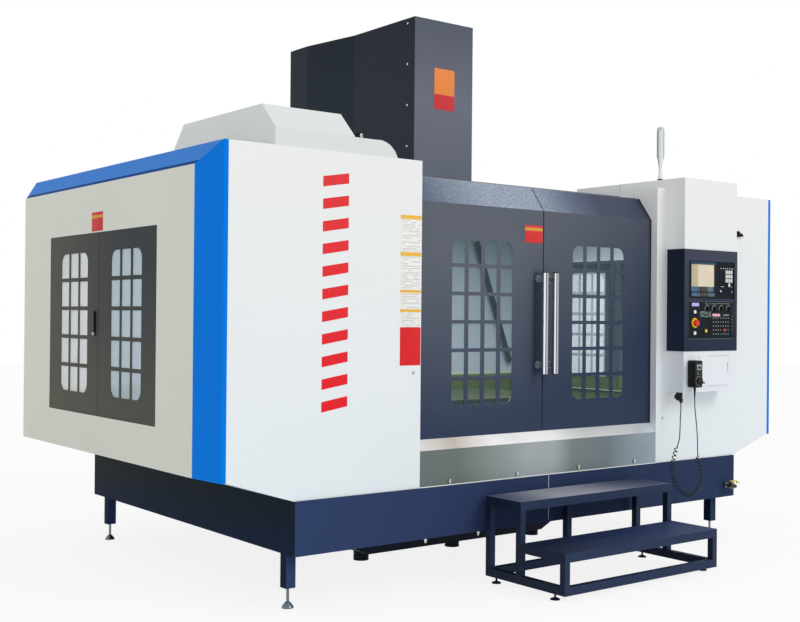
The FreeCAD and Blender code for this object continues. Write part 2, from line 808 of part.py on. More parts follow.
def make_tray_feet():
    """Levelling feet: threaded stem and domed disc under each leg."""
    feet = []
    for x, y in leg_places():
        outline = [(0, 0), (foot_disc_radius, 0), (foot_disc_radius, foot_disc_height * 0.4),
                   (foot_disc_radius * 0.82, foot_disc_height),
                   (foot_stem_radius * 1.7, foot_disc_height * 2.1),
                   (foot_stem_radius, foot_disc_height * 2.3), (foot_stem_radius, leg_bottom_z),
                   (0, leg_bottom_z)]
        feet.append(revolve(outline, Vector(x, y, 0), Vector(0, 0, 1)))
    return group(feet)


def make_steps():
    """Two-tread step platform welded from square tube, treads of plate, on four screw feet."""
    pieces = []
    t = step_tube
    rail_top = step_rail_low_z + step_rail_height
    high_rail = step_high_z - step_plate - step_rail_height
    low_rail = step_low_z - step_plate - step_rail_height
    high_plate = step_high_z - step_plate
    low_plate = step_low_z - step_plate
    mid_y = step_back_y - step_tread_depth
    x_sides = ((step_left, step_left + t), (step_right - t, step_right))
    for x0, x1 in x_sides:
        pieces.append(box(x0, x1, step_front_y, step_back_y, step_rail_low_z, rail_top))
        pieces.append(box(x0, x1, step_back_y - t, step_back_y, rail_top, high_rail))
        pieces.append(box(x0, x1, mid_y, mid_y + t, rail_top, high_rail))
        pieces.append(box(x0, x1, step_front_y, step_front_y + t, rail_top, low_rail))
        pieces.append(box(x0, x1, mid_y, step_back_y, high_rail, high_plate))
        pieces.append(box(x0, x1, step_front_y, mid_y, low_rail, low_plate))
    inner_left = step_left + t
    inner_right = step_right - t
    for y0, z0 in ((step_front_y, step_rail_low_z), (step_back_y - t, step_rail_low_z)):
        pieces.append(box(inner_left, inner_right, y0, y0 + t, z0, z0 + step_rail_height))
    for y0 in (mid_y, step_back_y - t):
        pieces.append(box(inner_left, inner_right, y0, y0 + t, high_rail, high_plate))
    for y0 in (step_front_y, mid_y - t):
        pieces.append(box(inner_left, inner_right, y0, y0 + t, low_rail, low_plate))
    middle = (step_left + step_right - t) / 2
    pieces.append(box(middle, middle + t, step_back_y - t, step_back_y, rail_top, high_rail))
    pieces.append(box(step_left, step_right, mid_y, step_back_y, high_plate, step_high_z))
    pieces.append(box(step_left, step_right, step_front_y, mid_y, low_plate, step_low_z))
    for x in (step_left + t / 2, step_right - t / 2):
        for y in (step_back_y - step_foot_back, step_front_y + step_foot_front):
            outline = [(0, 0), (step_foot_radius, 0), (step_foot_radius, 5), (step_foot_radius * 0.45, 12),
                       (6, 14), (6, step_rail_low_z), (0, step_rail_low_z)]
            pieces.append(revolve(outline, Vector(x, y, 0), Vector(0, 0, 1)))
    return fused(pieces)


# ================================================================ enclosure panels
def front_outline():
    """Left front panel in the X-Z plane: its lower outer corner runs down to the tray."""
    return [(-front_half, wing_bottom_z), (-tray_half, tray_top_z), (-doorway_half, tray_top_z),
            (-doorway_half, roof_z), (-front_half, roof_z)]


def make_front_panel():
    """Left front panel, one folded sheet: face, jamb beside the doorway and top return."""
    face = prism_y(front_outline(), 0, sheet)
    back = door_face_y - jamb_gap
    slope_back = door_top_y - jamb_gap
    jamb = prism_x([(0, tray_top_z), (back, sill_top_z - lower_rail_height - 6), (back, door_fold_z),
                    (slope_back, door_top_z + jamb_gap), (centre_roof_front_y, door_top_z + jamb_gap),
                    (centre_roof_front_y, roof_z), (0, roof_z)],
                   -doorway_half - sheet, -doorway_half)
    top = box(-front_half, -doorway_half, 0, front_return, roof_z - sheet, roof_z)
    return fused([face, jamb, top])


def cap_ring(x0, x1, x2, inset):
    """Loft of the side cap: straight lip from x0 to x1, then the bevel to the side face at x2."""
    length = math.hypot(rear_slope, cap_top_bevel)
    drop = inset * (length - cap_top_bevel) / rear_slope
    step = inset * (length - rear_slope) / cap_top_bevel
    wide = [(inset, wing_bottom_z), (enclosure_depth - inset, wing_bottom_z),
            (enclosure_depth - inset, rear_top_z - drop), (rear_ridge_y - step, roof_z - inset),
            (inset, roof_z - inset)]
    back = enclosure_depth - cap_rear_bevel
    top = roof_z - cap_top_bevel
    narrow = [(cap_front_bevel, wing_bottom_z), (back, wing_bottom_z), (back, top - cap_corner),
              (back - cap_corner, top), (cap_front_bevel, top)]
    sections = []
    for x, outline in ((x1, wide), (x2, narrow)):
        points = [Vector(x, y, z) for y, z in outline]
        sections.append(Part.makePolygon(points + [points[0]]))
    bevel = Part.makeLoft(sections, True, True)
    lip = prism_x(wide, x0, x1)
    return lip.fuse(bevel)


def make_side_frame():
    """Blue bevelled frame of the left side cap: an open ring of bent sheet."""
    x0 = -front_half
    x1 = -front_half - cap_lip
    x2 = -front_half - cap_out
    outer = cap_ring(x0, x1, x2, 0.0)
    inner = cap_ring(x0 + 1.0, x1 + cap_sheet, x2 + cap_sheet, cap_sheet)
    window = box(x2 - 1, x2 + cap_sheet + 3, cap_front_bevel, enclosure_depth - cap_rear_bevel,
                 wing_bottom_z - 1, roof_z - cap_top_bevel)
    hollow = inner.cut(box(x2 - 1, x0 + 2, cap_sheet, enclosure_depth - cap_sheet,
                           wing_bottom_z - 1, wing_bottom_z + cap_sheet))
    return outer.cut([hollow, window]).removeSplitter()


def leaf_pivots():
    """Pivot places (y) and the leaf's direction along Y for the two leaves of a side door."""
    return ((side_opening_front + leaf_gap + leaf_pivot_inset, 1),
            (side_opening_rear - leaf_gap - leaf_pivot_inset, -1))


def pivot_x():
    return -front_half - cap_out + leaf_face_inset + leaf_pivot_inset


def make_side_panel():
    """Grey side panel: flat sheet with a folded opening, and the pivot pins of the two leaves."""
    face_x = -front_half - cap_out
    y0 = cap_front_bevel
    y1 = enclosure_depth - cap_rear_bevel
    plate = box(face_x, face_x + sheet, y0, y1, wing_bottom_z, roof_z - cap_top_bevel)
    frame = box(face_x, face_x + side_return, side_opening_front - sheet, side_opening_rear + sheet,
                side_opening_low - sheet, side_opening_high + sheet)
    hole = box(face_x - 1, face_x + side_return + 1, side_opening_front, side_opening_rear,
               side_opening_low, side_opening_high)
    panel = fused([plate, frame]).cut(hole)
    pins = []
    for y, _ in leaf_pivots():
        pin_height = leaf_gap + leaf_pin_depth
        for z in (side_opening_low - sheet, side_opening_high - pin_height):
            pins.append(cylinder(pivot_x(), y, z, leaf_pin_radius, pin_height + sheet))
    return fused([panel] + pins)


def make_side_leaf(front):
    """Leaf of the left side door with its barred window and a clear pane behind the bars."""
    y_pivot, direction = leaf_pivots()[0 if front else 1]
    hinge_y = side_opening_front + leaf_gap if front else side_opening_rear - leaf_gap
    split_y = side_split_y - leaf_gap / 2 if front else side_split_y + leaf_gap / 2
    y0, y1 = min(hinge_y, split_y), max(hinge_y, split_y)
    x0 = -front_half - cap_out + leaf_face_inset
    z0 = side_opening_low + leaf_gap
    z1 = side_opening_high - leaf_gap
    leaf = box(x0, x0 + leaf_thickness, y0, y1, z0, z1)
    recess = box(x0 + sheet, x0 + leaf_thickness + 1, y0 + leaf_frame, y1 - leaf_frame,
                 z0 + leaf_frame, z1 - leaf_frame)
    if front:
        w0 = side_opening_front + side_window_margin_out
        w1 = side_split_y - side_window_margin_in
    else:
        w0 = side_split_y + side_window_margin_in - 14
        w1 = side_opening_rear - side_window_margin_out + 4
    # the cutters are made along Y and turned so that they run along X
    cells = window_cutters(side_window_low, side_window_high, w0, w1, side_window_columns, side_window_rows,
                           side_bar, side_bar, side_window_round, (-x0 - sheet - 1, -x0 + 1))
    turned = [turn_to_side(cell) for cell in cells]
    holes = []
    for z_hole in (z0 - 1, z1 - leaf_pin_depth - 1):
        holes.append(cylinder(pivot_x(), y_pivot, z_hole, leaf_pin_radius + seat_gap, leaf_pin_depth + 2))
    leaf = leaf.cut([recess] + turned + holes)
    pane = box(x0 + sheet, x0 + sheet + pane_thickness, w0 - pane_overlap, w1 + pane_overlap,
               side_window_low - pane_overlap, side_window_high + pane_overlap)
    return group([leaf, pane])


def turn_to_side(shape):
    """Turns a shape made in the X-Z plane so that its X becomes Y and its Y becomes -X."""
    turned = shape.copy()
    turned.rotate(Vector(0, 0, 0), Vector(0, 0, 1), 90)
    return turned


def make_side_latch():
    """Swing handle on the rear leaf: a lever on a round boss, over a flat plate."""
    face = -front_half - cap_out + leaf_face_inset
    y = side_split_y + latch_y_from_split
    low = latch_low + latch_margin
    high = latch_high - latch_margin
    plate_face = face - latch_plate_thickness - seat_gap
    lever = box(plate_face - latch_lever_thickness, plate_face, y - latch_lever_width / 2,
                y + latch_lever_width / 2, low, high - latch_lever_width / 2)
    boss = Part.makeCylinder(latch_lever_width / 2, latch_lever_thickness,
                             Vector(plate_face - latch_lever_thickness, y, high - latch_lever_width / 2),
                             Vector(1, 0, 0))
    return fused([lever, boss])


def latch_plate():
    """Flat plate of the swing handle, fixed to the rear leaf."""
    face = -front_half - cap_out + leaf_face_inset
    y = side_split_y + latch_y_from_split
    return box(face - latch_plate_thickness, face, y - latch_plate_width / 2, y + latch_plate_width / 2,
               latch_low, latch_high)


def make_wing_pans():
    """Sloping floors of the two wings, from the side caps in to the tray's rim."""
    flange = -tray_half + tray_rim_width * 0.8
    outline = [(-front_half, wing_bottom_z), (-tray_half, tray_top_z), (flange, tray_top_z),
               (flange, tray_top_z + sheet), (-tray_half, tray_top_z + sheet),
               (-front_half, wing_bottom_z + sheet)]
    left = prism_y(outline, sheet, enclosure_depth - sheet)
    return group([left, mirrored(left)])


def make_roof():
    """Roof: flat wing roofs, a lower middle with a cut-out under the column cover, a slope at the back."""
    pieces = []
    back = enclosure_depth - sheet
    for side in (-1, 1):
        x0, x1 = sorted((side * front_half, side * (doorway_half + sheet)))
        pieces.append(box(x0, x1, front_return, back, roof_z - sheet, roof_z))
        c0, c1 = sorted((side * (doorway_half + sheet), side * doorway_half))
        pieces.append(box(c0, c1, centre_roof_front_y, back, centre_roof_z - sheet, roof_z))
    middle = box(-doorway_half, doorway_half, centre_roof_front_y, back, centre_roof_z - sheet, centre_roof_z)
    pieces.append(middle.cut(prism_z(tower_outline(sheet), centre_roof_z - 10, centre_roof_z + 10)))
    fall = cap_top_bevel / rear_slope
    end_z = roof_z - (back - rear_ridge_y) * fall
    above = prism_x([(rear_ridge_y, roof_z), (back, end_z), (back, roof_z + 1), (rear_ridge_y, roof_z + 1)],
                    -front_half, front_half)
    under = sheet * math.hypot(1, fall)
    slope = prism_x([(rear_ridge_y, roof_z), (back, end_z), (back, end_z - under),
                     (rear_ridge_y, roof_z - under)], -front_half, front_half)
    slope = slope.cut(box(-doorway_half, doorway_half, rear_ridge_y - 1, back + 1, centre_roof_z, roof_z + 1))
    return fused([piece.cut(above) for piece in pieces] + [slope])


def tower_outline(inset):
    """Plan of the column cover, offset inward by inset."""
    narrow = tower_half - inset
    wide = tower_wide_half - inset
    return [(-narrow, tower_front_y + inset), (narrow, tower_front_y + inset), (narrow, tower_straight_y),
            (wide, tower_wide_y), (wide, tower_back_y - inset), (-wide, tower_back_y - inset),
            (-wide, tower_wide_y), (-narrow, tower_straight_y)]


def make_tower():
    """Column cover: bent sheet hood standing on the middle roof, open underneath."""
    outer = prism_z(tower_outline(0), centre_roof_z, tower_top_z)
    inner = prism_z(tower_outline(sheet), centre_roof_z - 1, tower_top_z - sheet)
    return outer.cut(inner)


def make_hump():
    """Folded cover on the left wing roof: upright front edge, 45 degree slopes front and back."""
    profile = [(0, roof_z), (0, hump_eave_z), (hump_front_slope, hump_top_z), (hump_top_back_y, hump_top_z),
               (hump_back_y, roof_z)]
    return prism_x(profile, hump_left, hump_right)


def make_cover():
    """Low cover beside the hump, its right shoulder rounded."""
    a = Vector(hump_right, 0, roof_z)
    b = Vector(hump_right, 0, cover_top_z)
    c = Vector(cover_round_x, 0, cover_top_z)
    d = Vector(cover_mid_x, 0, cover_mid_z)
    e = Vector(cover_end_x, 0, roof_z)
    edges = [Part.LineSegment(a, b).toShape(), Part.LineSegment(b, c).toShape(),
             Part.Arc(c, d, e).toShape(), Part.LineSegment(e, a).toShape()]
    return Part.Face(Part.Wire(edges)).extrude(Vector(0, cover_back_y, 0))


def make_rear_panel():
    """Rear wall, with a shelf each side of the bed from the tray's rim back to the wall."""
    gap_left = bed_left - bed_clearance
    gap_right = bed_right + bed_clearance
    gap_top = bed_top_z + 20
    outline = [(-front_half, wing_bottom_z), (-tray_half, tray_top_z), (gap_left, tray_top_z),
               (gap_left, gap_top), (gap_right, gap_top), (gap_right, tray_top_z),
               (tray_half, tray_top_z), (front_half, wing_bottom_z), (front_half, rear_top_z),
               (-front_half, rear_top_z)]
    wall = prism_y(outline, enclosure_depth - sheet, enclosure_depth)
    shelves = []
    shelf_end = tray_half - tray_rim_width
    for x0, x1 in ((-shelf_end, gap_left), (gap_right, shelf_end)):
        shelves.append(box(x0, x1, tray_back_y - tray_rim_width, enclosure_depth - sheet,
                           tray_top_z, tray_top_z + sheet))
    return fused([wall] + shelves)


def make_cabinet():
    """Electrical cabinet on the rear wall, with two closed doors and their handles."""
    y0 = enclosure_depth
    y1 = enclosure_depth + cabinet_depth
    body = box(cabinet_left, cabinet_right, y0, y1, cabinet_low_z, cabinet_high_z)
    middle = (cabinet_left + cabinet_right) / 2
    pieces = [body]
    margin = cabinet_door_margin
    half_gap = cabinet_door_gap / 2
    for x0, x1 in ((cabinet_left + margin, middle - half_gap), (middle + half_gap, cabinet_right - margin)):
        pieces.append(box(x0, x1, y1, y1 + cabinet_door, cabinet_low_z + margin, cabinet_high_z - margin))
    middle_z = (cabinet_low_z + cabinet_high_z) / 2
    face = y1 + cabinet_door
    pull_left = middle + cabinet_pull_width
    pieces.append(box(pull_left, pull_left + cabinet_pull_width, face, face + cabinet_pull_depth,
                      middle_z - cabinet_pull_height / 2, middle_z + cabinet_pull_height / 2))
    return fused(pieces)


# ================================================================ front doors
def make_door():
    """Left sliding door: face with a barred window, leaning hood, hanger flange and folded edges."""
    x_outer = -doorway_half - door_overlap
    x_inner = -door_centre_gap / 2
    y = door_face_y
    lean = math.atan2(door_top_y - y, door_top_z - door_fold_z)
    fold = sheet * math.tan(lean / 2)
    hanger_back = door_top_y + door_hanger_depth
    skin = [(y, door_bottom_z), (y, door_fold_z), (door_top_y, door_top_z), (hanger_back, door_top_z),
            (hanger_back, door_top_z - sheet), (door_top_y + sheet * 0.5, door_top_z - sheet),
            (y + sheet, door_fold_z - fold), (y + sheet, door_bottom_z)]
    face = prism_x(skin, x_outer, x_inner)
    deep = [(y, door_bottom_z), (y, door_fold_z), (door_top_y, door_top_z),
            (door_top_y + 6, door_top_z), (y + door_return, door_fold_z - 12),
            (y + door_return, door_bottom_z)]
    edge_outer = prism_x(deep, x_outer, x_outer + sheet)
    edge_inner = prism_x(deep, x_inner - sheet, x_inner)
    foot = box(x_outer, x_inner, y, y + door_return, door_bottom_z, door_bottom_z + sheet)
    door = fused([face, edge_outer, edge_inner, foot])
    cells = window_cutters(window_low, window_high, -window_outer, -window_inner, window_columns, window_rows,
                           window_bar_wide, window_bar_thin, window_round, (y - 1, y + sheet + 1))
    return door.cut(cells)


def make_door_pane():
    """Clear pane seated against the back of the left door's face."""
    y0 = door_face_y + sheet
    return box(-window_outer - pane_overlap, -window_inner + pane_overlap, y0, y0 + pane_thickness,
               window_low - pane_overlap, window_high + pane_overlap)


def make_door_handle():
    """Tubular pull handle on two round stand-offs with foot flanges, on the left door."""
    y = door_face_y - handle_reach
    tube = cylinder(-handle_x, y, handle_low, handle_radius, handle_high - handle_low)
    posts = []
    inward = Vector(0, 1, 0)
    for z in (handle_post_low, handle_post_high):
        posts.append(cylinder(-handle_x, y, z, handle_post_radius, handle_reach, inward))
        posts.append(cylinder(-handle_x, door_face_y - handle_foot_height, z, handle_foot_radius,
                              handle_foot_height, inward))
    return fused([tube] + posts)


def make_door_track():
    """Upper rail that carries the doors' hanger flanges and lower rail behind the sill."""
    top = door_top_z - sheet - seat_gap
    low = top - upper_rail_height
    y0 = upper_rail_front_y
    y1 = upper_rail_back_y
    roof_under = centre_roof_z - sheet
    middle = prism_x([(y0, low), (y1, low), (y1, roof_under), (y1 - sheet, roof_under),
                      (y1 - sheet, low + sheet), (y0 + sheet, low + sheet), (y0 + sheet, top), (y0, top)],
                     -rail_half, rail_half)
    wings = []
    for x0, x1 in ((-rail_half, -doorway_half - sheet), (doorway_half + sheet, rail_half)):
        wings.append(box(x0, x1, y1 - sheet, y1, roof_under, roof_z - sheet))
    upper = fused([middle] + wings)
    ly0 = sill_end_y
    ly1 = sill_end_y + lower_rail_depth
    foot = sill_top_z - lower_rail_height
    lower = prism_x([(ly0, foot), (ly1 + sheet, foot),
                     (ly1 + sheet, sill_top_z + lower_rail_lip), (ly1, sill_top_z + lower_rail_lip),
                     (ly1, sill_top_z), (ly0, sill_top_z)], -rail_half, rail_half)
    stands = []
    for side in (-1, 1):
        x0, x1 = sorted((side * (doorway_half + 60), side * (doorway_half + 120)))
        stands.append(box(x0, x1, sheet, ly0, foot, foot + 30))
    return group([upper, fused([lower] + stands)])


def make_sill():
    """Bright sill: folded sheet that slopes up from the apron to the doors' lower edge."""
    top = sill_top_z - 1.0
    slope = [(0, sill_front_z), (door_face_y, top), (sill_end_y, top),
             (sill_end_y, top - sheet), (door_face_y, top - sheet), (sheet, sill_front_z)]
    return prism_x(slope, -doorway_half, doorway_half)


def make_apron():
    """Apron sheet under the sill, standing on the tray's rim, with a folded top edge."""
    face = box(-doorway_half, doorway_half, 0, sheet, tray_top_z, sill_front_z)
    foot = box(-doorway_half, doorway_half, 0, 26, tray_top_z, tray_top_z + sheet)
    return fused([face, foot])


# ================================================================ console
def make_console_box():
    """White console housing in front of the right panel, with its band over the wing roof and a pocket."""
    front = box(console_left, console_right, console_front_y, 0, console_bottom_z, console_top_z)
    band = box(console_left, console_right, 0, band_back_y, roof_z, console_top_z)
    shell = front.fuse(band)
    wall = fascia_wall
    back = unit_back_y()
    belt = box(console_left - 1, console_right + 1, console_front_y - 1, 1, fascia_low_z, fascia_high_z)
    core = box(console_left + wall, console_right - wall, back, 2, fascia_low_z - 1, fascia_high_z + 1)
    pocket = box(flap_left + flap_margin, flap_right - flap_margin, console_front_y - 1,
                 console_front_y + pocket_depth, flap_low_z + flap_margin, flap_high_z - flap_margin)
    return shell.cut(belt.cut(core)).cut(pocket).removeSplitter()


def make_fascia():
    """Dark belt round the console's front and sides, with the two openings for the units."""
    p = fascia_proud
    y0 = console_front_y - p
    outer = box(console_left - p, console_right + p, y0, 0, fascia_low_z, fascia_high_z)
    back = unit_back_y()
    core = box(console_left + fascia_wall, console_right - fascia_wall, back, 1,
               fascia_low_z - 1, fascia_high_z + 1)
    cuts = [core]
    for low, high in ((display_low_z, display_high_z), (controls_low_z, controls_high_z)):
        cuts.append(box(unit_left, unit_right, y0 - 1, back + 1, low, high))
    return outer.cut(cuts)


def unit_face_y():
    return console_front_y - fascia_proud + unit_recess


def unit_back_y():
    return console_front_y + fascia_wall + unit_recess + unit_backing


def make_display():
    """Display unit: recessed screen on the left, raised key block on the right."""
    face = unit_face_y()
    body = box(unit_left, unit_right, face, unit_back_y(), display_low_z, display_high_z)
    screen = box(screen_left, screen_right, face - 1, face + screen_recess, screen_low_z, screen_high_z)
    body = body.cut(screen)
    keys = []
    pitch_x = (keypad_right - keypad_left) / keypad_columns
    pitch_z = (display_high_z - display_low_z - 2 * keypad_margin) / keypad_rows
    for column in range(keypad_columns):
        for row in range(keypad_rows):
            x0 = keypad_left + column * pitch_x
            z0 = display_low_z + keypad_margin + row * pitch_z
            keys.append(box(x0 + key_gap / 2, x0 + pitch_x - key_gap / 2, face - key_proud, face,
                            z0 + key_gap / 2, z0 + pitch_z - key_gap / 2))
    return fused([body] + keys)


def make_controls():
    """Operator panel: plate with button bezels, a key switch, a small key grid and the stop's ring."""
    face = unit_face_y()
    body = box(unit_left, unit_right, face, unit_back_y(), controls_low_z, controls_high_z)
    toward = Vector(0, -1, 0)
    added = []
    for x, z in ((start_x, start_z), (halt_x, halt_z), (lamp_button_x, lamp_button_z), (key_x, key_z)):
        added.append(cylinder(x, face, z, button_bezel_radius, button_bezel_height, toward))
    for x, z in ((lamp_button_x, lamp_button_z), (key_x, key_z)):
        added.append(cylinder(x, face, z, button_radius, button_height, toward))
    added.append(cylinder(stop_x, face, stop_z, stop_ring_radius, stop_ring_height, toward))
    grid_low = controls_low_z + grid_pitch_z
    for column in range(grid_columns):
        for row in range(grid_rows):
            x0 = grid_left + column * grid_pitch_x
            z0 = grid_low + row * grid_pitch_z
            added.append(box(x0, x0 + grid_key_width, face - key_proud, face, z0, z0 + grid_key_height))
    body = fused([body] + added)
    cuts = []
    button_floor = button_sink + button_travel + 1
    for x, z in ((start_x, start_z), (halt_x, halt_z)):
        cuts.append(cylinder(x, face + button_floor, z, button_radius + seat_gap,
                             button_floor + button_bezel_height + 1, toward))
    stop_floor = stop_sink + stop_travel + 2
    cuts.append(cylinder(stop_x, face + stop_floor, stop_z, stop_stem_radius + seat_gap,
                         stop_floor + stop_ring_height + 1, toward))
    return body.cut(cuts)


def make_knob(x):
    """Rotary switch knob with a raised grip bar, its pointer up."""
    face = unit_face_y() - seat_gap
    skirt = cylinder(x, face, knob_z, knob_radius, knob_height - knob_grip_height, Vector(0, -1, 0))
    grip = box(x - knob_grip_width / 2, x + knob_grip_width / 2, face - knob_height, face,
               knob_z - knob_radius * 0.92, knob_z + knob_radius * 0.92)
    return fused([skirt, grip])


def make_stop():
    """Emergency stop: mushroom cap on its stem."""
    face = unit_face_y()
    gap = stop_ring_height + stop_lift
    outline = [(0, -stop_sink), (stop_stem_radius, -stop_sink), (stop_stem_radius, gap),
               (stop_cap_radius, gap + 1), (stop_cap_radius, gap + 8),
               (stop_cap_radius * 0.8, gap + 15), (0, gap + 18)]
    return revolve(outline, Vector(stop_x, face, stop_z), Vector(0, -1, 0))


def make_button(x, z):
    """Round push button in its bezel."""
    face = unit_face_y()
    outline = [(0, -button_sink), (button_radius, -button_sink), (button_radius, button_height - 2),
               (button_radius - 2, button_height), (0, button_height)]
    return revolve(outline, Vector(x, face, z), Vector(0, -1, 0))


def make_flap():
    """Flat door over the console's pocket, hinged at its left edge, with a slot pull."""
    y1 = console_front_y - seat_gap
    plate = box(flap_left, flap_right, y1 - sheet, y1, flap_low_z, flap_high_z)
    pull_low = flap_high_z - flap_pull_drop - flap_pull_height
    pull = box(flap_right - 26, flap_right - 20, y1 - sheet - 1, y1 - sheet + 1.4,
               pull_low, pull_low + flap_pull_height)
    return plate.cut(pull)


def make_lamp():
    """Signal lamp: dark foot, cone, clear tube and cap, turned as one stack."""
    base = console_top_z
    r = lamp_radius
    h = lamp_height
    outline = [(0, 0), (r * 0.77, 0), (r * 0.77, 12), (r * 0.58, 14), (r * 0.58, 42), (r * 0.46, 46),
               (r * 0.46, 88), (r * 0.9, 160), (r, 170), (r, h - 26), (r * 0.92, h - 24),
               (r * 0.92, h - 20), (r, h - 18), (r, h - 9), (r * 0.72, h), (0, h)]
    return revolve(outline, Vector(lamp_x, lamp_y, base), Vector(0, 0, 1))


# ================================================================ pendant and cable
def pendant_back_y():
    return console_front_y - pendant_holder_depth


def make_pendant():
    """Hand pendant in its holder: case with rounded ends, two selectors and a tapered strain relief."""
    y1 = pendant_back_y()
    y0 = y1 - pendant_depth
    x0 = pendant_left
    x1 = pendant_left + pendant_width
    case = box(x0, x1, y0, y1, pendant_low_z, pendant_high_z)
    ends = [e for e in case.Edges if abs(e.tangentAt(e.FirstParameter).y) > 0.5]
    case = case.makeFillet(pendant_corner, ends)
    holder = box(x0 + 12, x1 - 12, y1, console_front_y, pendant_low_z + 40, pendant_high_z - 30)
    middle = (x0 + x1) / 2
    selectors = []
    for z in selector_z:
        selectors.append(Part.makeCylinder(selector_radius, 12, Vector(middle, y0, z), Vector(0, -1, 0)))
    start = cable_run[0]
    r = cable_diameter / 2
    top = pendant_low_z - start.z
    relief = revolve([(0, 0), (r + 1.0, 0), (r + 4.5, top - 12), (r + 6, top - 6),
                      (r + 6, top + 10), (0, top + 10)], start, Vector(0, 0, 1))
    return fused([case, holder] + selectors + [relief])


def make_handwheel():
    """Pulse handwheel of the pendant: knurl-edged disc with a small crank knob."""
    y0 = pendant_back_y() - pendant_depth - seat_gap
    x = pendant_left + pendant_width / 2
    toward = Vector(0, -1, 0)
    disc = Part.makeCylinder(handwheel_radius, handwheel_height, Vector(x, y0, handwheel_z), toward)
    crank = Part.makeCylinder(5.0, 22.0, Vector(x + handwheel_radius * 0.6, y0 - handwheel_height + 1,
                                               handwheel_z - handwheel_radius * 0.4), toward)
    return fused([disc, crank])


def make_plug():
    """Cable plug and its socket under the console, with the second, capped socket beside it."""
    end = plug_run[-1]
    r = cable_diameter / 2
    top = console_bottom_z - end.z
    plug = revolve([(0, 0), (r + 1.5, 0), (plug_radius, 12), (plug_radius, 34), (plug_radius - 3, 38),
                    (plug_radius - 3, top), (0, top)], end, Vector(0, 0, 1))
    other = Vector(console_left + 28, console_front_y + 72, console_bottom_z)
    cap = revolve([(0, 0), (12, 0), (12, 14), (22, 20), (22, 44), (9, 50), (9, 58), (0, 58)],
                  other, Vector(0, 0, -1))
    return group([plug, cap])


class Route:
    """Straight runs joined by tangent arcs, each arc as large as its two runs allow."""

    def __init__(self, points):
        self.points = points
        self.parts = []
        self.radii = []
        start = points[0]
        for before, corner, after in zip(points, points[1:], points[2:]):
            run_in = corner - before
            run_out = after - corner
            a = Vector(run_in).normalize()
            b = Vector(run_out).normalize()
            half = a.getAngle(b) / 2
            reach = 0.45 * min(run_in.Length, run_out.Length)
            radius = reach / math.tan(half)
            self.radii.append(radius)
            arc_start = corner - a * reach
            arc_end = corner + b * reach
            inward = Vector(b - a).normalize()
            centre = corner + inward * (radius / math.cos(half))
            self.parts.append(("line", start, arc_start))
            self.parts.append(("arc", arc_start, arc_end, centre, radius, a, 2 * half))
            start = arc_end
        self.parts.append(("line", start, points[-1]))

    def length(self):
        return sum(self.part_length(part) for part in self.parts)

    @staticmethod
    def part_length(part):
        if part[0] == "line":
            return (part[2] - part[1]).Length
        return part[4] * part[6]

    def place(self, distance):
        """Position and direction at a distance along the route."""
        for part in self.parts:
            size = self.part_length(part)
            if distance <= size or part is self.parts[-1]:
                break
            distance -= size
        if part[0] == "line":
            direction = Vector(part[2] - part[1]).normalize()
            return part[1] + direction * distance, direction
        _, begin, _, centre, radius, tangent, _ = part
        angle = distance / radius
        out = Vector(begin - centre).normalize()
        position = centre + out * (radius * math.cos(angle)) + tangent * (radius * math.sin(angle))
        direction = tangent * math.cos(angle) - out * math.sin(angle)
        return position, direction

    def edges(self):
        result = []
        for part in self.parts:
            if part[0] == "line":
                result.append(Part.LineSegment(part[1], part[2]).toShape())
            else:
                _, begin, end, centre, radius, _, turn = part
                middle = Vector((begin + end) * 0.5 - centre).normalize() * radius + centre
                result.append(Part.Arc(begin, middle, end).toShape())
        return result


def sweep(edges, start, direction, radius):
    circle = Part.Wire(Part.makeCircle(radius, start, direction))
    return Part.Wire(edges).makePipeShell([circle], True, False)


def make_cable(points, name):
    """Plain stretch of the pendant's cable."""
    route = Route(points)
    direction = Vector(points[1] - points[0]).normalize()
    tube = sweep(route.edges(), points[0], direction, cable_diameter / 2)
    report_tube(name, tube, route.length(), route.radii)
    return tube


def report_tube(name, tube, length, radii):
    ideal = math.pi * (cable_diameter / 2) ** 2 * length
    print(name, "length", round(length, 1), "volume against section x length",
          round(tube.Volume / ideal, 4), "least radius", round(min(radii), 1))


def helix_place(route, total, distance):
    """Point and direction on the curl's centre line, whose radius grows over its first and last turn."""
    def point(s):
        position, direction = route.place(min(max(s, 0.0), total))
        across = Vector(0, 1, 0)
        first = Vector(across - direction * across.dot(direction)).normalize()
        second = direction.cross(first)
        ramp = min(s, total - s) / (total / curl_count)
        swell = 0.5 - 0.5 * math.cos(math.pi * min(max(ramp, 0.0), 1.0))
        angle = 2 * math.pi * curl_count * s / total
        return position + (first * math.cos(angle) + second * math.sin(angle)) * (curl_radius * swell)
    step = 0.05
    before = point(max(distance - step, 0.0))
    after = point(min(distance + step, total))
    return point(distance), Vector(after - before).normalize()


def biarc(p0, t0, p1, t1):
    """Two arcs that leave p0 along t0 and reach p1 along t1."""
    v = p1 - p0
    t = t0 + t1
    spread = 2 * (1 - t0.dot(t1))
    along = v.dot(t)
    if spread < 1e-6:
        d = v.Length / 2
    else:
        d = (math.sqrt(along * along + spread * v.dot(v)) - along) / spread
    q0 = p0 + t0 * d
    q1 = p1 - t1 * d
    joint = (q0 + q1) * 0.5
    return [bend(p0, q0, joint), bend(joint, q1, p1)]


def bend(start, corner, end):
    """Arc from start to end whose end tangents meet at corner."""
    middle = (start + end) * 0.5
    half = (end - start).Length / 2
    rise = (corner - middle).Length
    if rise < 1e-4 * half:
        return Part.LineSegment(start, end).toShape()
    reach = (corner - start).Length
    radius = reach * half / rise
    sagitta = radius - math.sqrt(max(radius * radius - half * half, 0.0))
    return Part.Arc(start, middle + (corner - middle) * (sagitta / rise), end).toShape()


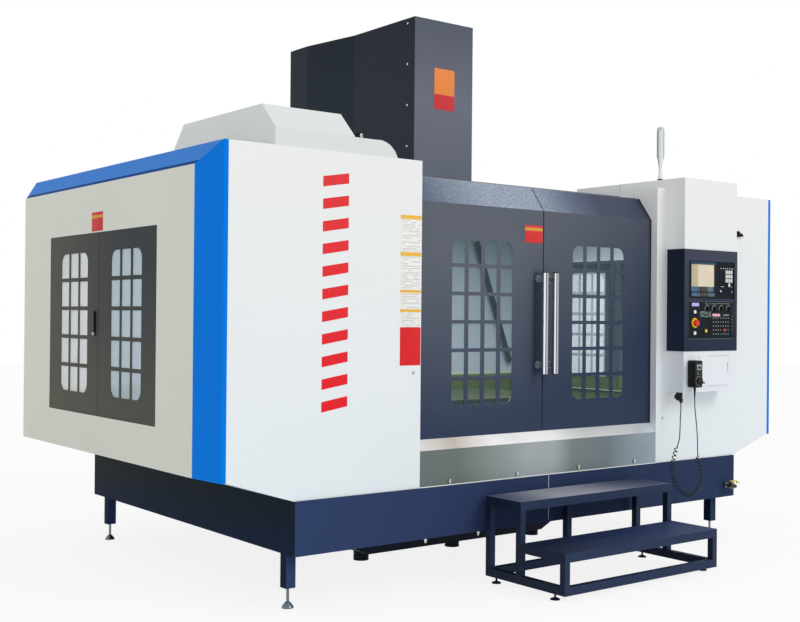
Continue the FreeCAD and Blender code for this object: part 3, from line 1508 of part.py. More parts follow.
def make_curl():
    """Curly stretch of the cable as one unbroken tube, its ends straight for one diameter."""
    route = Route(curl_run)
    total = route.length()
    lead = cable_diameter
    places = 4 * curl_count
    marks = [lead + (total - 2 * lead) * i / places for i in range(places + 1)]
    samples = [(s, helix_place(route, total, s)) for s in marks]
    begin, begin_direction = route.place(0.0)
    finish, finish_direction = route.place(total)
    edges = []
    p, t = begin, begin_direction
    for _, (q, u) in samples:
        edges += biarc(p, t, q, u)
        p, t = q, u
    edges += biarc(p, t, finish, finish_direction)
    tube = sweep(edges, begin, begin_direction, cable_diameter / 2)
    length = sum(edge.Length for edge in edges)
    radii = [edge.Curve.Radius for edge in edges if hasattr(edge.Curve, "Radius")]
    report_tube("pendant_curl", tube, length, radii)
    print("pendant_curl axis radii", [round(r) for r in route.radii])
    print("pendant_curl least gap to itself", round(least_gap(edges), 2))
    return tube


def least_gap(edges):
    """Least gap between turns of the curl, measured on points along its centre line."""
    points = []
    travelled = []
    distance = 0.0
    for edge in edges:
        for i in range(3):
            share = i / 3.0
            parameter = edge.FirstParameter + (edge.LastParameter - edge.FirstParameter) * share
            points.append(edge.valueAt(parameter))
            travelled.append(distance + edge.Length * share)
        distance += edge.Length
    least = 1e9
    apart = math.pi * curl_radius
    for i, p in enumerate(points):
        for j in range(i + 1, len(points)):
            if travelled[j] - travelled[i] > apart:
                least = min(least, (points[j] - p).Length)
    return least - cable_diameter


# ================================================================ drain valve
def make_valve():
    """Ball valve on the tray's front: pipe, ball housing and spout."""
    y = tray_front_y
    toward = Vector(0, -1, 0)
    mouth = y - valve_reach - valve_ball_half - valve_spout
    pipe = Part.makeCylinder(valve_pipe_radius, y - mouth, Vector(valve_x, y, valve_z), toward)
    flats = box(valve_x - 19, valve_x + 19, y - 16, y, valve_z - 17, valve_z + 17)
    ball = Part.makeCylinder(valve_ball_radius, 2 * valve_ball_half,
                             Vector(valve_x, y - valve_reach + valve_ball_half, valve_z), toward)
    stem = cylinder(valve_x, y - valve_reach, valve_z, 6, valve_ball_radius + 8)
    bore = Part.makeCylinder(valve_bore_radius, valve_spout + valve_ball_half,
                             Vector(valve_x, mouth + valve_spout + valve_ball_half - 1, valve_z), toward)
    return fused([pipe, flats, ball, stem]).cut(bore)


def make_valve_lever():
    """Valve lever: bent strip that points to the right when closed."""
    z0 = valve_z + valve_ball_radius + 8 + seat_gap
    y = tray_front_y - valve_reach
    half = lever_width / 2
    root = valve_x - 12
    run = valve_x + lever_length * 0.55
    tip = valve_x + lever_length
    low = z0 - lever_drop
    outline = [(root, z0), (run, z0), (run + 14, low), (tip, low), (tip, low + lever_thickness),
               (run + 16, low + lever_thickness), (run + 2, z0 + lever_thickness),
               (root, z0 + lever_thickness)]
    strip = prism_y(outline, y - half, y + half)
    cap = cylinder(valve_x, y, z0 + lever_thickness, 8, 5)
    return fused([strip, cap])


# ================================================================ assembly
def build_pieces():
    front_panel = make_front_panel()
    side_frame = make_side_frame()
    side_panel = make_side_panel()
    leaf_front = make_side_leaf(True)
    leaf_rear = group([make_side_leaf(False), latch_plate()])
    latch = make_side_latch()
    door = make_door()
    pane = make_door_pane()
    handle = make_door_handle()
    pieces = {
        "bed": make_bed(),
        "column": make_column(),
        "chip_tray": make_tray(),
        "tray_feet": make_tray_feet(),
        "left_front_panel": front_panel,
        "right_front_panel": mirrored(front_panel),
        "left_side_frame": side_frame,
        "right_side_frame": mirrored(side_frame),
        "left_side_panel": side_panel,
        "right_side_panel": mirrored(side_panel),
        "wing_pans": make_wing_pans(),
        "roof_panels": make_roof(),
        "roof_hump": make_hump(),
        "roof_cover": make_cover(),
        "rear_panel": make_rear_panel(),
        "electrical_cabinet": make_cabinet(),
        "column_cover": make_tower(),
        "door_track": make_door_track(),
        "door_sill": make_sill(),
        "front_apron": make_apron(),
        "console_box": make_console_box(),
        "console_fascia": make_fascia(),
        "display_unit": make_display(),
        "operator_panel": make_controls(),
        "signal_lamp": make_lamp(),
        "step_platform": make_steps(),
        "drain_valve": make_valve(),
        "pendant_body": make_pendant(),
        "pendant_cable": make_cable(cable_run, "pendant_cable"),
        "pendant_curl": make_curl(),
        "plug_cable": make_cable(plug_run, "plug_cable"),
        "cable_plug": make_plug(),
        "left_door": door,
        "left_door_window": pane,
        "left_door_handle": handle,
        "right_door": mirrored(door),
        "right_door_window": mirrored(pane),
        "right_door_handle": mirrored(handle),
        "left_side_door_front": leaf_front,
        "left_side_door_rear": leaf_rear,
        "left_side_latch": latch,
        "right_side_door_front": mirrored(leaf_front),
        "right_side_door_rear": mirrored(leaf_rear),
        "right_side_latch": mirrored(latch),
        "saddle": make_saddle(),
        "work_table": make_table(),
        "spindle_head": make_head(),
        "spindle": make_spindle(),
        "tool_carriage": make_carriage(),
        "tool_carousel": make_carousel(),
        "emergency_stop": make_stop(),
        "start_button": make_button(start_x, start_z),
        "halt_button": make_button(halt_x, halt_z),
        "console_flap": make_flap(),
        "pendant_handwheel": make_handwheel(),
        "valve_lever": make_valve_lever(),
    }
    for index, x in enumerate(knob_places):
        pieces["selector_knob_" + str(index + 1)] = make_knob(x)
    return pieces


os.makedirs("parts", exist_ok=True)
for name, shape in build_pieces().items():
    shape.exportStep("parts/" + name + ".step")
    print(name, "solids", len(shape.Solids), "valid", shape.isValid(), "volume", round(shape.Volume / 1e6, 3))
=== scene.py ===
import json
import math

import bmesh
import bpy
from mathutils import Matrix, Vector

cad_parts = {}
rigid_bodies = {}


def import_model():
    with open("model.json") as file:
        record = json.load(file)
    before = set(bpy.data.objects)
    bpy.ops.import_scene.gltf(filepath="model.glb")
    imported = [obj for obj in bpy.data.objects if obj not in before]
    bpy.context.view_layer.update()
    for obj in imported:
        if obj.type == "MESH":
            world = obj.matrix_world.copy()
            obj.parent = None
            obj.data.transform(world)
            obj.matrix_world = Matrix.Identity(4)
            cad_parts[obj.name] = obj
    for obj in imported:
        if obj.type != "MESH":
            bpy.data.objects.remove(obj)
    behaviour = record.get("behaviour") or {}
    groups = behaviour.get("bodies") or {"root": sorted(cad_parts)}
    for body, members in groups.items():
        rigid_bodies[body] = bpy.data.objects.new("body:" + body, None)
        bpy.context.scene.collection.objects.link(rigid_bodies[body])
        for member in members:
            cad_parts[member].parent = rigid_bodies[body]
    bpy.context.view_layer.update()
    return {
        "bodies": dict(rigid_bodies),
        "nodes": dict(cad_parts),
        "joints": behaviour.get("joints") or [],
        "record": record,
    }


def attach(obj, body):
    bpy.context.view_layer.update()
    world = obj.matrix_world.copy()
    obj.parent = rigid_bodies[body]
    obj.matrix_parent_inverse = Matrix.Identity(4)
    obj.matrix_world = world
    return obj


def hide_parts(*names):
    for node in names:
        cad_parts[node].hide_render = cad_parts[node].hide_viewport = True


# Dresses the machining centre: the frame gives the solids, this file gives finishes and small parts.
# Metres. X right along the front, Y into the machine, Z up, floor at 0, front panels at y = 0.

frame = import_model()
nodes = frame["nodes"]
scene = bpy.context.scene
scene.view_settings.view_transform = "Standard"
print("frame loaded,", len(nodes), "solids")

# places that finishes share, and how deep plates sit
doorwayHalf = 1.033
roofSeam = 1.036
liningTop = 2.36
oliveTop = 1.045
capFoot = 2.378
capMitre = {"top": 2.48, "run": 2.667}
lintelEnd = 0.88
sunk = 0.0003
sideRight = (0.71, -0.7, 0.0)

# camera, where the photograph was taken from
view = {
    "place": (-5.2121, -5.2397, 1.5877),
    "right": (0.792995, -0.609164, 0.008796),
    "up": (-0.009145, 0.002535, 0.999955),
    "back": (-0.609159, -0.79304, -0.00356),
    "lens": 52.2,
}


def added(name, data):  # a new object in the scene
    thing = bpy.data.objects.new(name, data)
    scene.collection.objects.link(thing)
    return thing


def setCamera():
    camera = added("shopCamera", bpy.data.cameras.new("shopCamera"))
    turn = Matrix((view["right"], view["up"], view["back"])).transposed().to_4x4()
    camera.matrix_world = Matrix.Translation(view["place"]) @ turn
    camera.data.sensor_width = 36.0
    camera.data.lens = view["lens"]
    camera.data.clip_end = 200.0
    scene.camera = camera


setCamera()


def tone(red, green, blue):  # a colour as a paint card shows it, 0 to 255
    def straight(value):
        value = value / 255
        return value / 12.92 if value <= 0.04045 else ((value + 0.055) / 1.055) ** 2.4

    return (straight(red), straight(green), straight(blue), 1.0)


def arithmetic(operation, swapped=False):  # an operator that adds one Math node
    def apply(self, other=0.0):
        return self.maker.calc(operation, *((other, self) if swapped else (self, other)))

    return apply


class Signal:
    # one output socket, so that sums on it read as sums

    def __init__(self, maker, socket):
        self.maker = maker
        self.socket = socket

    __add__ = arithmetic("ADD")
    __radd__ = arithmetic("ADD", True)
    __sub__ = arithmetic("SUBTRACT")
    __rsub__ = arithmetic("SUBTRACT", True)
    __mul__ = arithmetic("MULTIPLY")
    __rmul__ = arithmetic("MULTIPLY", True)
    __truediv__ = arithmetic("DIVIDE")
    __gt__ = arithmetic("GREATER_THAN")
    __lt__ = arithmetic("LESS_THAN")
    __abs__ = arithmetic("ABSOLUTE")


class Maker:
    # adds nodes to the tree of a material or a world

    def __init__(self, owner):
        owner.use_nodes = True
        self.tree = owner.node_tree

    def add(self, kind, settings=None, values=None, output=0):
        node = self.tree.nodes.new(kind)
        for key, value in (settings or {}).items():
            setattr(node, key, value)
        self.fill(node, values or {})
        return Signal(self, node.outputs[output])

    def fill(self, node, values):  # colours come as three numbers from 0 to 255, or as shares with an alpha
        for key, value in values.items():
            target = node.inputs[key]
            if isinstance(value, Signal):
                self.tree.links.new(value.socket, target)
            else:
                target.default_value = tone(*value) if target.type == "RGBA" and len(value) == 3 else value

    def level(self, amount, low=0.0, high=1.0):  # 0 at low, 1 at high, or falling where low is the larger
        return self.add("ShaderNodeMapRange", {"clamp": True}, {0: amount, 1: low, 2: high})

    def calc(self, operation, *values):
        return self.add("ShaderNodeMath", {"operation": operation}, dict(enumerate(values)))

    def seen(self):  # 1 for what the camera sees, straight, mirrored or through glass
        straight, mirrored, through = [self.add("ShaderNodeLightPath", output="Is %s Ray" % kind)
                                       for kind in ("Camera", "Glossy", "Transmission")]
        return self.level(straight + mirrored + through)


class Finish(Maker):
    # one material

    def __init__(self, name):
        self.material = bpy.data.materials.new(name)
        super().__init__(self.material)
        self.shader = self.tree.nodes["Principled BSDF"]
        self.placed = None
        self.split = None

    def coat(self, colour, rough, gloss=None, normal=None, metal=None):  # the surface's own settings
        values = {"Base Color": colour, "Roughness": rough, "Specular IOR Level": gloss, "Normal": normal,
                  "Metallic": metal}
        self.fill(self.shader, {key: value for key, value in values.items() if value is not None})
        return self

    def place(self):  # the point on the piece, in metres
        if self.placed is None:
            self.placed = self.add("ShaderNodeTexCoord", output="Object")
        return self.placed

    def along(self, axis):  # one coordinate of that point
        if self.split is None:
            self.split = self.add("ShaderNodeSeparateXYZ", values={0: self.place()}).socket.node
        return Signal(self, self.split.outputs[axis])

    def noise(self, scale, detail=2.0, rough=0.5, stretch=None):
        where = self.place()
        if stretch:
            where = self.add("ShaderNodeMapping", values={"Vector": where, "Scale": stretch})
        values = {"Vector": where, "Scale": scale, "Detail": detail, "Roughness": rough}
        return self.add("ShaderNodeTexNoise", values=values)

    def cells(self, scale):
        return self.add("ShaderNodeTexVoronoi", values={"Vector": self.place(), "Scale": scale})

    def climb(self, axis, low, high):  # a level of one coordinate
        return self.level(self.along(axis), low, high)

    def mix(self, amount, first, second):
        return self.add("ShaderNodeMix", {"data_type": "RGBA"}, {0: amount, 6: first, 7: second}, 2)

    def over(self, shade, *coats):  # coats of a mask and a colour, laid on in turn
        for amount, colour in coats:
            shade = self.mix(amount, shade, colour)
        return shade

    def band(self, axis, low, high, soft=0.0006):  # 1 between two places along an axis
        return self.climb(axis, low - soft, low + soft) * self.climb(axis, high + soft, high - soft)

    def patch(self, across, up):  # 1 inside a rectangle on the front
        return self.band(0, *across) * self.band(2, *up)

    def ring(self, x, z, low, high):  # 1 between two radii round a place on the front
        across = self.along(0) - x
        up = self.along(2) - z
        distance = self.calc("SQRT", across * across + up * up)
        return (distance > low) * (distance < high)

    def repeat(self, axis, start, pitch):  # 0 to 1 along each pitch
        return self.calc("FRACT", (self.along(axis) - start) / pitch)

    def sweep(self, axis, *rows):  # rows of a place on the axis and the red, green and blue there
        first, last = rows[0][0], rows[-1][0]
        result = self.add("ShaderNodeValToRGB", values={0: self.climb(axis, first, last)})
        stops = result.socket.node.color_ramp.elements
        stops.remove(stops[1])
        for place, *colour in rows:
            stop = stops[0] if place == first else stops.new((place - first) / (last - first))
            stop.color = tone(*colour)
        return result

    def dots(self, across, up, pitch, radius):  # round spots on a lattice between two corners of the front
        u = (self.repeat(0, across[0] - pitch[0] / 2, pitch[0]) - 0.5) * pitch[0]
        v = (self.repeat(2, up[0] - pitch[1] / 2, pitch[1]) - 0.5) * pitch[1]
        wide = (across[0] - pitch[0] / 2, across[1] + pitch[0] / 2)
        tall = (up[0] - pitch[1] / 2, up[1] + pitch[1] / 2)
        return (u * u + v * v < radius * radius) * self.patch(wide, tall)

    def facing(self, direction):  # how squarely the surface looks along a direction
        normal = self.add("ShaderNodeTexCoord", output="Normal")
        return self.add("ShaderNodeVectorMath", {"operation": "DOT_PRODUCT"}, {0: normal, 1: direction}, "Value")

    def inward(self):  # 1 on faces that look into the machine
        out = self.add("ShaderNodeVectorMath", {"operation": "SUBTRACT"}, {0: self.place(), 1: (0.0, 1.4, 1.6)})
        return self.facing(out) < 0

    def bump(self, height, depth, strength):
        return self.add("ShaderNodeBump", values={"Height": height, "Distance": depth, "Strength": strength})


def grey(value):
    return (value, value, value, 1.0)


def scaled(colour, share):
    return tuple(channel * share for channel in tone(*colour)[:3]) + (1.0,)


class Shape:
    # a growing bmesh: blocks, rods and turned outlines, finished as one piece

    def __init__(self, mesh=None):
        self.mesh = mesh or bmesh.new()

    def fresh(self, before):
        return [vert for vert in self.mesh.verts if vert not in before]

    def spread(self):  # width, depth and height together
        sides = zip(*(vert.co for vert in self.mesh.verts))
        return sum(max(side) - min(side) for side in sides)

    def outward(self, verts):  # turns the faces round these verts to look out
        faces = {face for vert in verts for face in vert.link_faces}
        bmesh.ops.recalc_face_normals(self.mesh, faces=list(faces))

    def put(self, verts, turn, at):
        if turn:
            bmesh.ops.rotate(self.mesh, verts=verts, cent=(0, 0, 0), matrix=turn)
        bmesh.ops.translate(self.mesh, verts=verts, vec=at)

    def block(self, low, high, edge, steps=2, turn=None, at=(0, 0, 0)):  # a box with rounded edges
        low, high = Vector(low), Vector(high)
        before = set(self.mesh.verts)
        stretch = Matrix.LocRotScale((low + high) / 2, None, high - low)
        verts = bmesh.ops.create_cube(self.mesh, size=1.0, matrix=stretch)["verts"]
        lines = {line for vert in verts for line in vert.link_edges}
        bmesh.ops.bevel(self.mesh, geom=list(lines), offset=edge, offset_type="OFFSET", segments=steps,
                        affect="EDGES", profile=0.5, material=-1)
        self.put(self.fresh(before), turn, at)
        return self

    def turned(self, outline, base, axis, steps):
        # (radius, height) outline spun about an axis that starts at base
        before = set(self.mesh.verts)
        verts = [self.mesh.verts.new((radius, 0, height)) for radius, height in outline]
        lines = [self.mesh.edges.new(pair) for pair in zip(verts, verts[1:])]
        bmesh.ops.spin(self.mesh, geom=verts + lines, cent=(0, 0, 0), axis=(0, 0, 1), angle=2 * math.pi,
                       steps=steps, use_merge=True)
        bmesh.ops.remove_doubles(self.mesh, verts=self.fresh(before), dist=1e-6)
        made = self.fresh(before)
        self.outward(made)
        self.put(made, Vector((0, 0, 1)).rotation_difference(Vector(axis)).to_matrix(), base)
        return self

    def rod(self, start, end, radius, steps, edge=0.0):
        start, end = Vector(start), Vector(end)
        length = (end - start).length
        edge = edge or radius * 0.12
        outline = [(0, 0), (radius - edge, 0), (radius, edge), (radius, length - edge), (radius - edge, length),
                   (0, length)]
        return self.turned(outline, start, end - start, steps)

    def sheet(self, corners, push):  # flat outline pushed along a vector
        verts = [self.mesh.verts.new(corner) for corner in corners]
        face = self.mesh.faces.new(verts)
        made = bmesh.ops.extrude_face_region(self.mesh, geom=[face])["geom"]
        moved = [item for item in made if isinstance(item, bmesh.types.BMVert)]
        bmesh.ops.translate(self.mesh, verts=moved, vec=push)
        self.outward(verts + moved)
        return self

    def arc(self, centre, radii, push, start, sweep, steps=24):  # flat curved strip on the front, from start degrees
        before = set(self.mesh.verts)
        first = math.radians(start)
        corners = [(radius * math.cos(first), depth, radius * math.sin(first))
                   for radius, depth in ((radii[0], 0), (radii[1], 0), (radii[1], push), (radii[0], push))]
        face = self.mesh.faces.new([self.mesh.verts.new(corner) for corner in corners])
        bmesh.ops.spin(self.mesh, geom=[face, *face.edges, *face.verts], cent=(0, 0, 0), axis=(0, -1, 0),
                       angle=math.radians(sweep), steps=steps)
        made = self.fresh(before)
        self.outward(made)
        self.put(made, None, centre)
        return self

    def hoop(self, inner, outer, half, base, axis, steps):  # a flat ring, half its width either side of base
        outline = [(inner, -half), (outer, -half), (outer, half), (inner, half), (inner, -half)]
        return self.turned(outline, base, axis, steps)

    def scatter(self, outline, places, axis, steps):  # the same turned outline at several places
        for place in places:
            self.turned(outline, place, axis, steps)
        return self

    def zinced(self, name):
        self.piece(name, studFinish, "zinc")

    def piece(self, name, finish, slot, body="machine", replaces=()):
        data = bpy.data.meshes.new(name)
        self.mesh.to_mesh(data)
        self.mesh.free()
        data.shade_smooth()
        data.set_sharp_from_angle(angle=math.radians(32))
        data.materials.append(finish.material)
        thing = added(name, data)
        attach(thing, body)
        if replaces:
            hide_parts(*replaces)


def dress(finish, *names):
    for name in names:
        for holder in nodes[name].material_slots:
            holder.material = finish.material


def both(name):
    return ["left_" + name, "right_" + name]


# pendant cable: straight lead, curls, straight end with its plug
cordDetails = {
    "diameter": 0.007,
    "length": 2.75,
    "curls": 27,
    "curlRadius": 0.0119,
    "pointsPerTurn": 12,
}
cableRun = [(1.221, -0.18, 1.047), (1.221, -0.18, 0.985), (1.238, -0.178, 0.902), (1.255, -0.175, 0.815),
            (1.266, -0.172, 0.729), (1.27, -0.17, 0.651)]
plugRun = [(1.106, -0.128, 0.713), (1.133, -0.125, 0.7565), (1.142, -0.121, 0.836), (1.148, -0.118, 0.905),
           (1.16, -0.112, 0.955), (1.16, -0.112, 1.0)]
curlRun = [cableRun[-1], (1.27267, -0.16867, 0.599), (1.308, -0.168, 0.535), (1.318, -0.167, 0.46),
           (1.281, -0.163, 0.396), (1.215, -0.158, 0.37), (1.14, -0.151, 0.385), (1.078, -0.145, 0.436),
           (1.044, -0.14, 0.505), (1.043, -0.136, 0.585), (1.07, -0.132, 0.655), plugRun[0]]


def nurbsCurve(name, points, resolution):
    curve = bpy.data.curves.new(name, "CURVE")
    curve.dimensions = "3D"
    curve.resolution_u = resolution
    spline = curve.splines.new("NURBS")
    spline.points.add(len(points) - 1)
    for target, point in zip(spline.points, points):
        target.co = (*point, 1.0)
        target.radius = cordDetails["diameter"] / 2
    spline.order_u = 3
    spline.use_endpoint_u = True
    return added(name, curve)


def routePoints(points):  # even steps along the smooth line through a route
    guide = nurbsCurve("routeGuide", points, 24)
    bpy.context.view_layer.update()
    line = bpy.data.meshes.new_from_object(guide.evaluated_get(bpy.context.evaluated_depsgraph_get()))
    path = [vert.co.copy() for vert in line.vertices]
    bpy.data.objects.remove(guide)
    bpy.data.meshes.remove(line)
    return path


def alongPath(path, distance):
    for start, end in zip(path, path[1:]):
        step = (end - start).length
        if distance <= step or end is path[-1]:
            return start.lerp(end, min(distance / step, 1.0)), (end - start).normalized()
        distance -= step


def curlPoints():
    path = routePoints(curlRun)
    total = sum((end - start).length for start, end in zip(path, path[1:]))
    count = cordDetails["curls"] * cordDetails["pointsPerTurn"]
    turn = total / cordDetails["curls"]
    points = []
    for index in range(1, count):
        distance = total * index / count
        middle, forward = alongPath(path, distance)
        across = (Vector((0, 1, 0)) - forward * forward.y).normalized()
        other = forward.cross(across)
        growth = min(min(distance, total - distance) / turn, 1.0)
        radius = cordDetails["curlRadius"] * (0.5 - 0.5 * math.cos(math.pi * growth))
        angle = 2 * math.pi * cordDetails["curls"] * index / count
        points.append(middle + (across * math.cos(angle) + other * math.sin(angle)) * radius)
    return points


def makeCord():
    cord = nurbsCurve("pendantCord", cableRun + curlPoints() + plugRun, 3)
    cord.data.bevel_depth = 1.0
    cord.data.bevel_resolution = 3
    cord.data.use_fill_caps = True
    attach(cord, "machine")
    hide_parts("pendant_cable", "pendant_curl", "plug_cable")
    return cord


pendantCord = makeCord()
print("camera and pendant cable made")


def insideTone(paint):  # the work area's lining: bluish sheets, a pale line, oiled olive below it
    return paint.sweep(2, (0.6, 62, 76, 16), (oliveTop, 86, 98, 22), (oliveTop + 0.007, 190, 204, 180),
                       (oliveTop + 0.021, 190, 204, 190), (oliveTop + 0.04, 178, 192, 202),
                       (liningTop, 166, 180, 192))


def sheetPaint(name, colour, gloss=0.5, lined=False, cool=None, seams=(), centre=None, lines=()):
    # sprayed sheet steel: slow drift of tone, fine orange peel, a cooler painted shade towards the floor, and
    # painted shadow lines where given
    paint = Finish(name)
    slow = paint.noise(0.9, 3.0, 0.55)
    shade = paint.mix(slow, scaled(colour, 0.95), scaled(colour, 1.03))
    # painted shade: the sheet turns cooler and bluer towards the floor
    if cool:
        shade = paint.mix(paint.climb(2, 2.3, 0.7) * 0.8, shade, cool)
    if lined:
        behind = (paint.along(2) < liningTop) * (paint.along(1) > 0.22)
        shade = paint.mix(paint.inward() * behind, shade, insideTone(paint))
    if centre:
        shade = paint.mix(paint.band(0, -doorwayHalf, lintelEnd) * ahead(paint), shade, centre)
    for axis, place in seams:
        shade = paint.mix(paint.band(axis, place - 0.0015, place + 0.0015) * 0.7, shade, (92, 96, 98))
    # painted shadow lines along the edges of the flap's proud face
    for across, up in lines:
        proud = paint.along(1) < -0.1463
        shade = paint.mix(paint.patch(across, up) * proud * 0.55, shade, (120, 126, 132))
    peel = paint.noise(420.0, 2.0, 0.6)
    patches = paint.noise(3.0, 4.0, 0.6)
    return paint.coat(shade, 0.36 + patches * 0.12, gloss, paint.bump(peel, 0.00025, 0.5))


def hammered(paint, shade, spark, fleck, grain=150.0, gloss=0.1, rough=0.45):
    # stove enamel over a colour: dimples, light flecks, soft blotches
    flecks = paint.level(paint.noise(grain, 3.0, 0.75), 0.52, 0.75)
    shade = paint.mix(flecks * fleck, shade, spark)
    blotches = paint.noise(2.2, 4.0, 0.6)
    shade = paint.mix(blotches * 0.14, shade, scaled(spark, 0.12))
    return paint.coat(shade, rough + flecks * 0.1, gloss, paint.bump(paint.cells(grain), 0.0006, 0.5))


def ahead(paint):  # 1 on faces that look out of the front
    return paint.level(paint.facing((0.0, -1.0, 0.0)), 0.3, 0.8)


def skyward(paint, low=0.3, high=0.5):  # 1 on faces that look up
    return paint.level(paint.facing((0.0, 0.0, 1.0)), low, high)


def makeTrayPaint():
    paint = Finish("trayPaint")
    # the sides and the front are shaded and lit copies of one paint; the sides darker and bluer towards the bottom
    # and lighter towards the back, the front darker to the right
    side = paint.sweep(1, (0.0, 8, 26, 40), (1.7, 8, 28, 34), (2.6, 30, 38, 36))
    side = paint.mix(paint.climb(2, 0.52, 0.34) * 0.8, side, (4, 28, 56))
    front = paint.sweep(0, (-1.9, 50, 68, 106), (0.0, 48, 62, 97), (1.9, 42, 57, 88))
    shade = paint.mix(ahead(paint), side, front)
    # painted shade on the faces that look down
    underShade = paint.level(paint.facing((0.0, 0.0, -1.0)), 0.3, 0.7)
    return hammered(paint, paint.mix(underShade, shade, (3, 14, 24)), (92, 104, 140), 0.12, gloss=0.03)


def makeDoorPaint():
    paint = Finish("doorPaint")
    # painted sheen: lighter upwards, with painted shade towards the right and a painted shadow round the handles
    right = paint.climb(0, -0.3, 0.95)
    rise = paint.level(paint.along(2) - right * 0.55, 0.9, 1.95)
    handleShadow = paint.band(0, -0.085, -0.012, 0.01) * paint.band(2, 1.22, 1.87, 0.02)
    body = paint.over((46, 60, 87), (rise, (96, 102, 113)), (right * 0.35, (30, 41, 66)),
                      (handleShadow * 0.75, (30, 42, 60)))
    # painted sky reflection on the sloping hood, bright at the left, over a darker speckle
    hood = paint.sweep(0, (-1.0, 96, 112, 132), (-0.45, 182, 194, 210), (-0.05, 176, 188, 206),
                       (0.3, 104, 118, 138), (0.55, 68, 74, 92), (1.0, 62, 68, 86))
    speckle = paint.level(paint.noise(75.0, 5.0, 0.9), 0.44, 0.6)
    hood = paint.mix((1 - speckle) * 0.5, hood, (58, 70, 98))
    shade = paint.mix(skyward(paint), body, hood)
    rubber = paint.band(0, -0.0045, 0.0045, 0.0005)
    rubber = rubber + paint.climb(0, doorwayHalf - 0.013, doorwayHalf - 0.011)
    shade = paint.mix(paint.level(rubber) * 0.85, shade, (12, 16, 24))
    return hammered(paint, shade, (132, 138, 154), 0.2)


def makeColumnPaint():
    paint = Finish("columnPaint")
    # shaded sides and a lit front of one paint: the front's lighter tone is a painted sheen
    side = paint.sweep(2, (2.4, 31, 41, 54), (3.1, 30, 41, 52), (3.6, 20, 32, 44))
    front = paint.sweep(2, (2.4, 98, 104, 118), (3.1, 112, 115, 130), (3.6, 90, 95, 110))
    return hammered(paint, paint.mix(ahead(paint), side, front), (132, 138, 154), 0.18)


def makeLeafPaint():
    paint = Finish("sideDoorPaint")
    inner = paint.mix(paint.climb(2, 1.075, 1.07), (48, 60, 72), (58, 72, 16))
    shade = paint.over((68, 72, 62), (paint.climb(2, 1.0, 1.9), (38, 46, 52)),
                       (paint.climb(1, 1.2, 2.3) * 0.8, (82, 79, 66)), (paint.inward(), inner))
    return hammered(paint, shade, (120, 118, 106), 0.14, 90.0, 0.15, 0.5)


def makeFasciaPaint():
    paint = Finish("fasciaPaint")
    # the front, lighter upwards, is a painted sheen over the dark paint of the sides
    rise = paint.climb(2, 1.35, 2.0)
    side, front = paint.mix(rise, (26, 38, 60), (20, 30, 48)), paint.mix(rise, (27, 39, 64), (60, 67, 84))
    return hammered(paint, paint.mix(ahead(paint), side, front), (100, 106, 124), 0.1, 300.0)


def makeStepPaint():
    # tube frame with a painted lit front, and two pressed treads with a darker dimple pattern; the upper tread
    # carries a painted sheen, the lower one is painted lighter towards the right
    paint = Finish("stepPaint")
    frame = paint.mix(ahead(paint), (20, 32, 54), (36, 52, 82))
    # painted sheen across the upper tread, and painted light along the lower one
    treadSheen = paint.sweep(0, (-0.5, 84, 94, 116), (-0.2, 166, 170, 180), (0.1, 166, 169, 182),
                       (0.42, 104, 110, 132), (0.7, 56, 66, 94))
    lower = paint.sweep(0, (-0.5, 24, 35, 56), (0.0, 34, 50, 86), (0.6, 52, 68, 108))
    tread = paint.mix(paint.climb(2, 0.3, 0.45), lower, treadSheen)
    bumps = 1.0
    for axis in (0, 1):
        bumps = bumps * paint.calc("SINE", paint.repeat(axis, 0.0, 0.024) * math.tau)
    top = skyward(paint, 0.7, 0.9)
    tread = paint.mix(paint.level(bumps, -0.2, 0.7) * 0.32, tread, (30, 40, 62))
    return hammered(paint, paint.mix(top, frame, tread), (110, 118, 142), 0.14)


def brushedSteel(name, shades, rough, along=(1.0, 60.0, 60.0), bright=0.12):
    # rolled sheet: its tone drifts along x, a painted reflection where a list of tones is given, with fine streaks
    # one way and cloudy stains
    metal = Finish(name)
    base = metal.sweep(0, *shades) if isinstance(shades, list) else metal.mix(0.5, shades, shades)
    streaks = metal.noise(9.0, 5.0, 0.7, along)
    clouds = metal.noise(2.6, 4.0, 0.6)
    shade = metal.mix((1 - streaks) * bright, base, (60, 66, 68))
    shade = metal.mix(metal.level(clouds, 0.5, 0.8) * 0.12, shade, (90, 94, 92))
    rough = rough - 0.06 + streaks * 0.14 + clouds * 0.08
    return metal.coat(shade, rough, normal=metal.bump(streaks, 0.0002, 0.4), metal=0.85)


def plated(name, colour, rough):
    metal = Finish(name)
    wear = metal.noise(40.0, 4.0, 0.65)
    return metal.coat(metal.mix(wear, scaled(colour, 0.82), colour), rough + wear * 0.12, metal=1.0)


def castPaint(name, colour, rough=0.55):
    # filled and painted casting
    paint = Finish(name)
    pits = paint.noise(60.0, 5.0, 0.7)
    cloud = paint.noise(1.5, 4.0, 0.6)
    shade = paint.mix(cloud, scaled(colour, 0.8), scaled(colour, 1.08))
    return paint.coat(shade, rough + pits * 0.1, 0.15, paint.bump(pits, 0.0012, 0.5))


def moulded(plastic, shade, rough, gloss=0.3):
    # fine moulded grain over a colour
    fine = plastic.noise(900.0, 2.0, 0.6)
    wear = plastic.noise(14.0, 3.0, 0.6)
    shade = plastic.mix(wear * 0.05, shade, (120, 122, 126))
    return plastic.coat(shade, rough + wear * 0.12, gloss, plastic.bump(fine, 0.00015, 0.5))


def mouldedPlastic(name, colour, rough=0.4, gloss=0.3):
    return moulded(Finish(name), colour, rough, gloss)


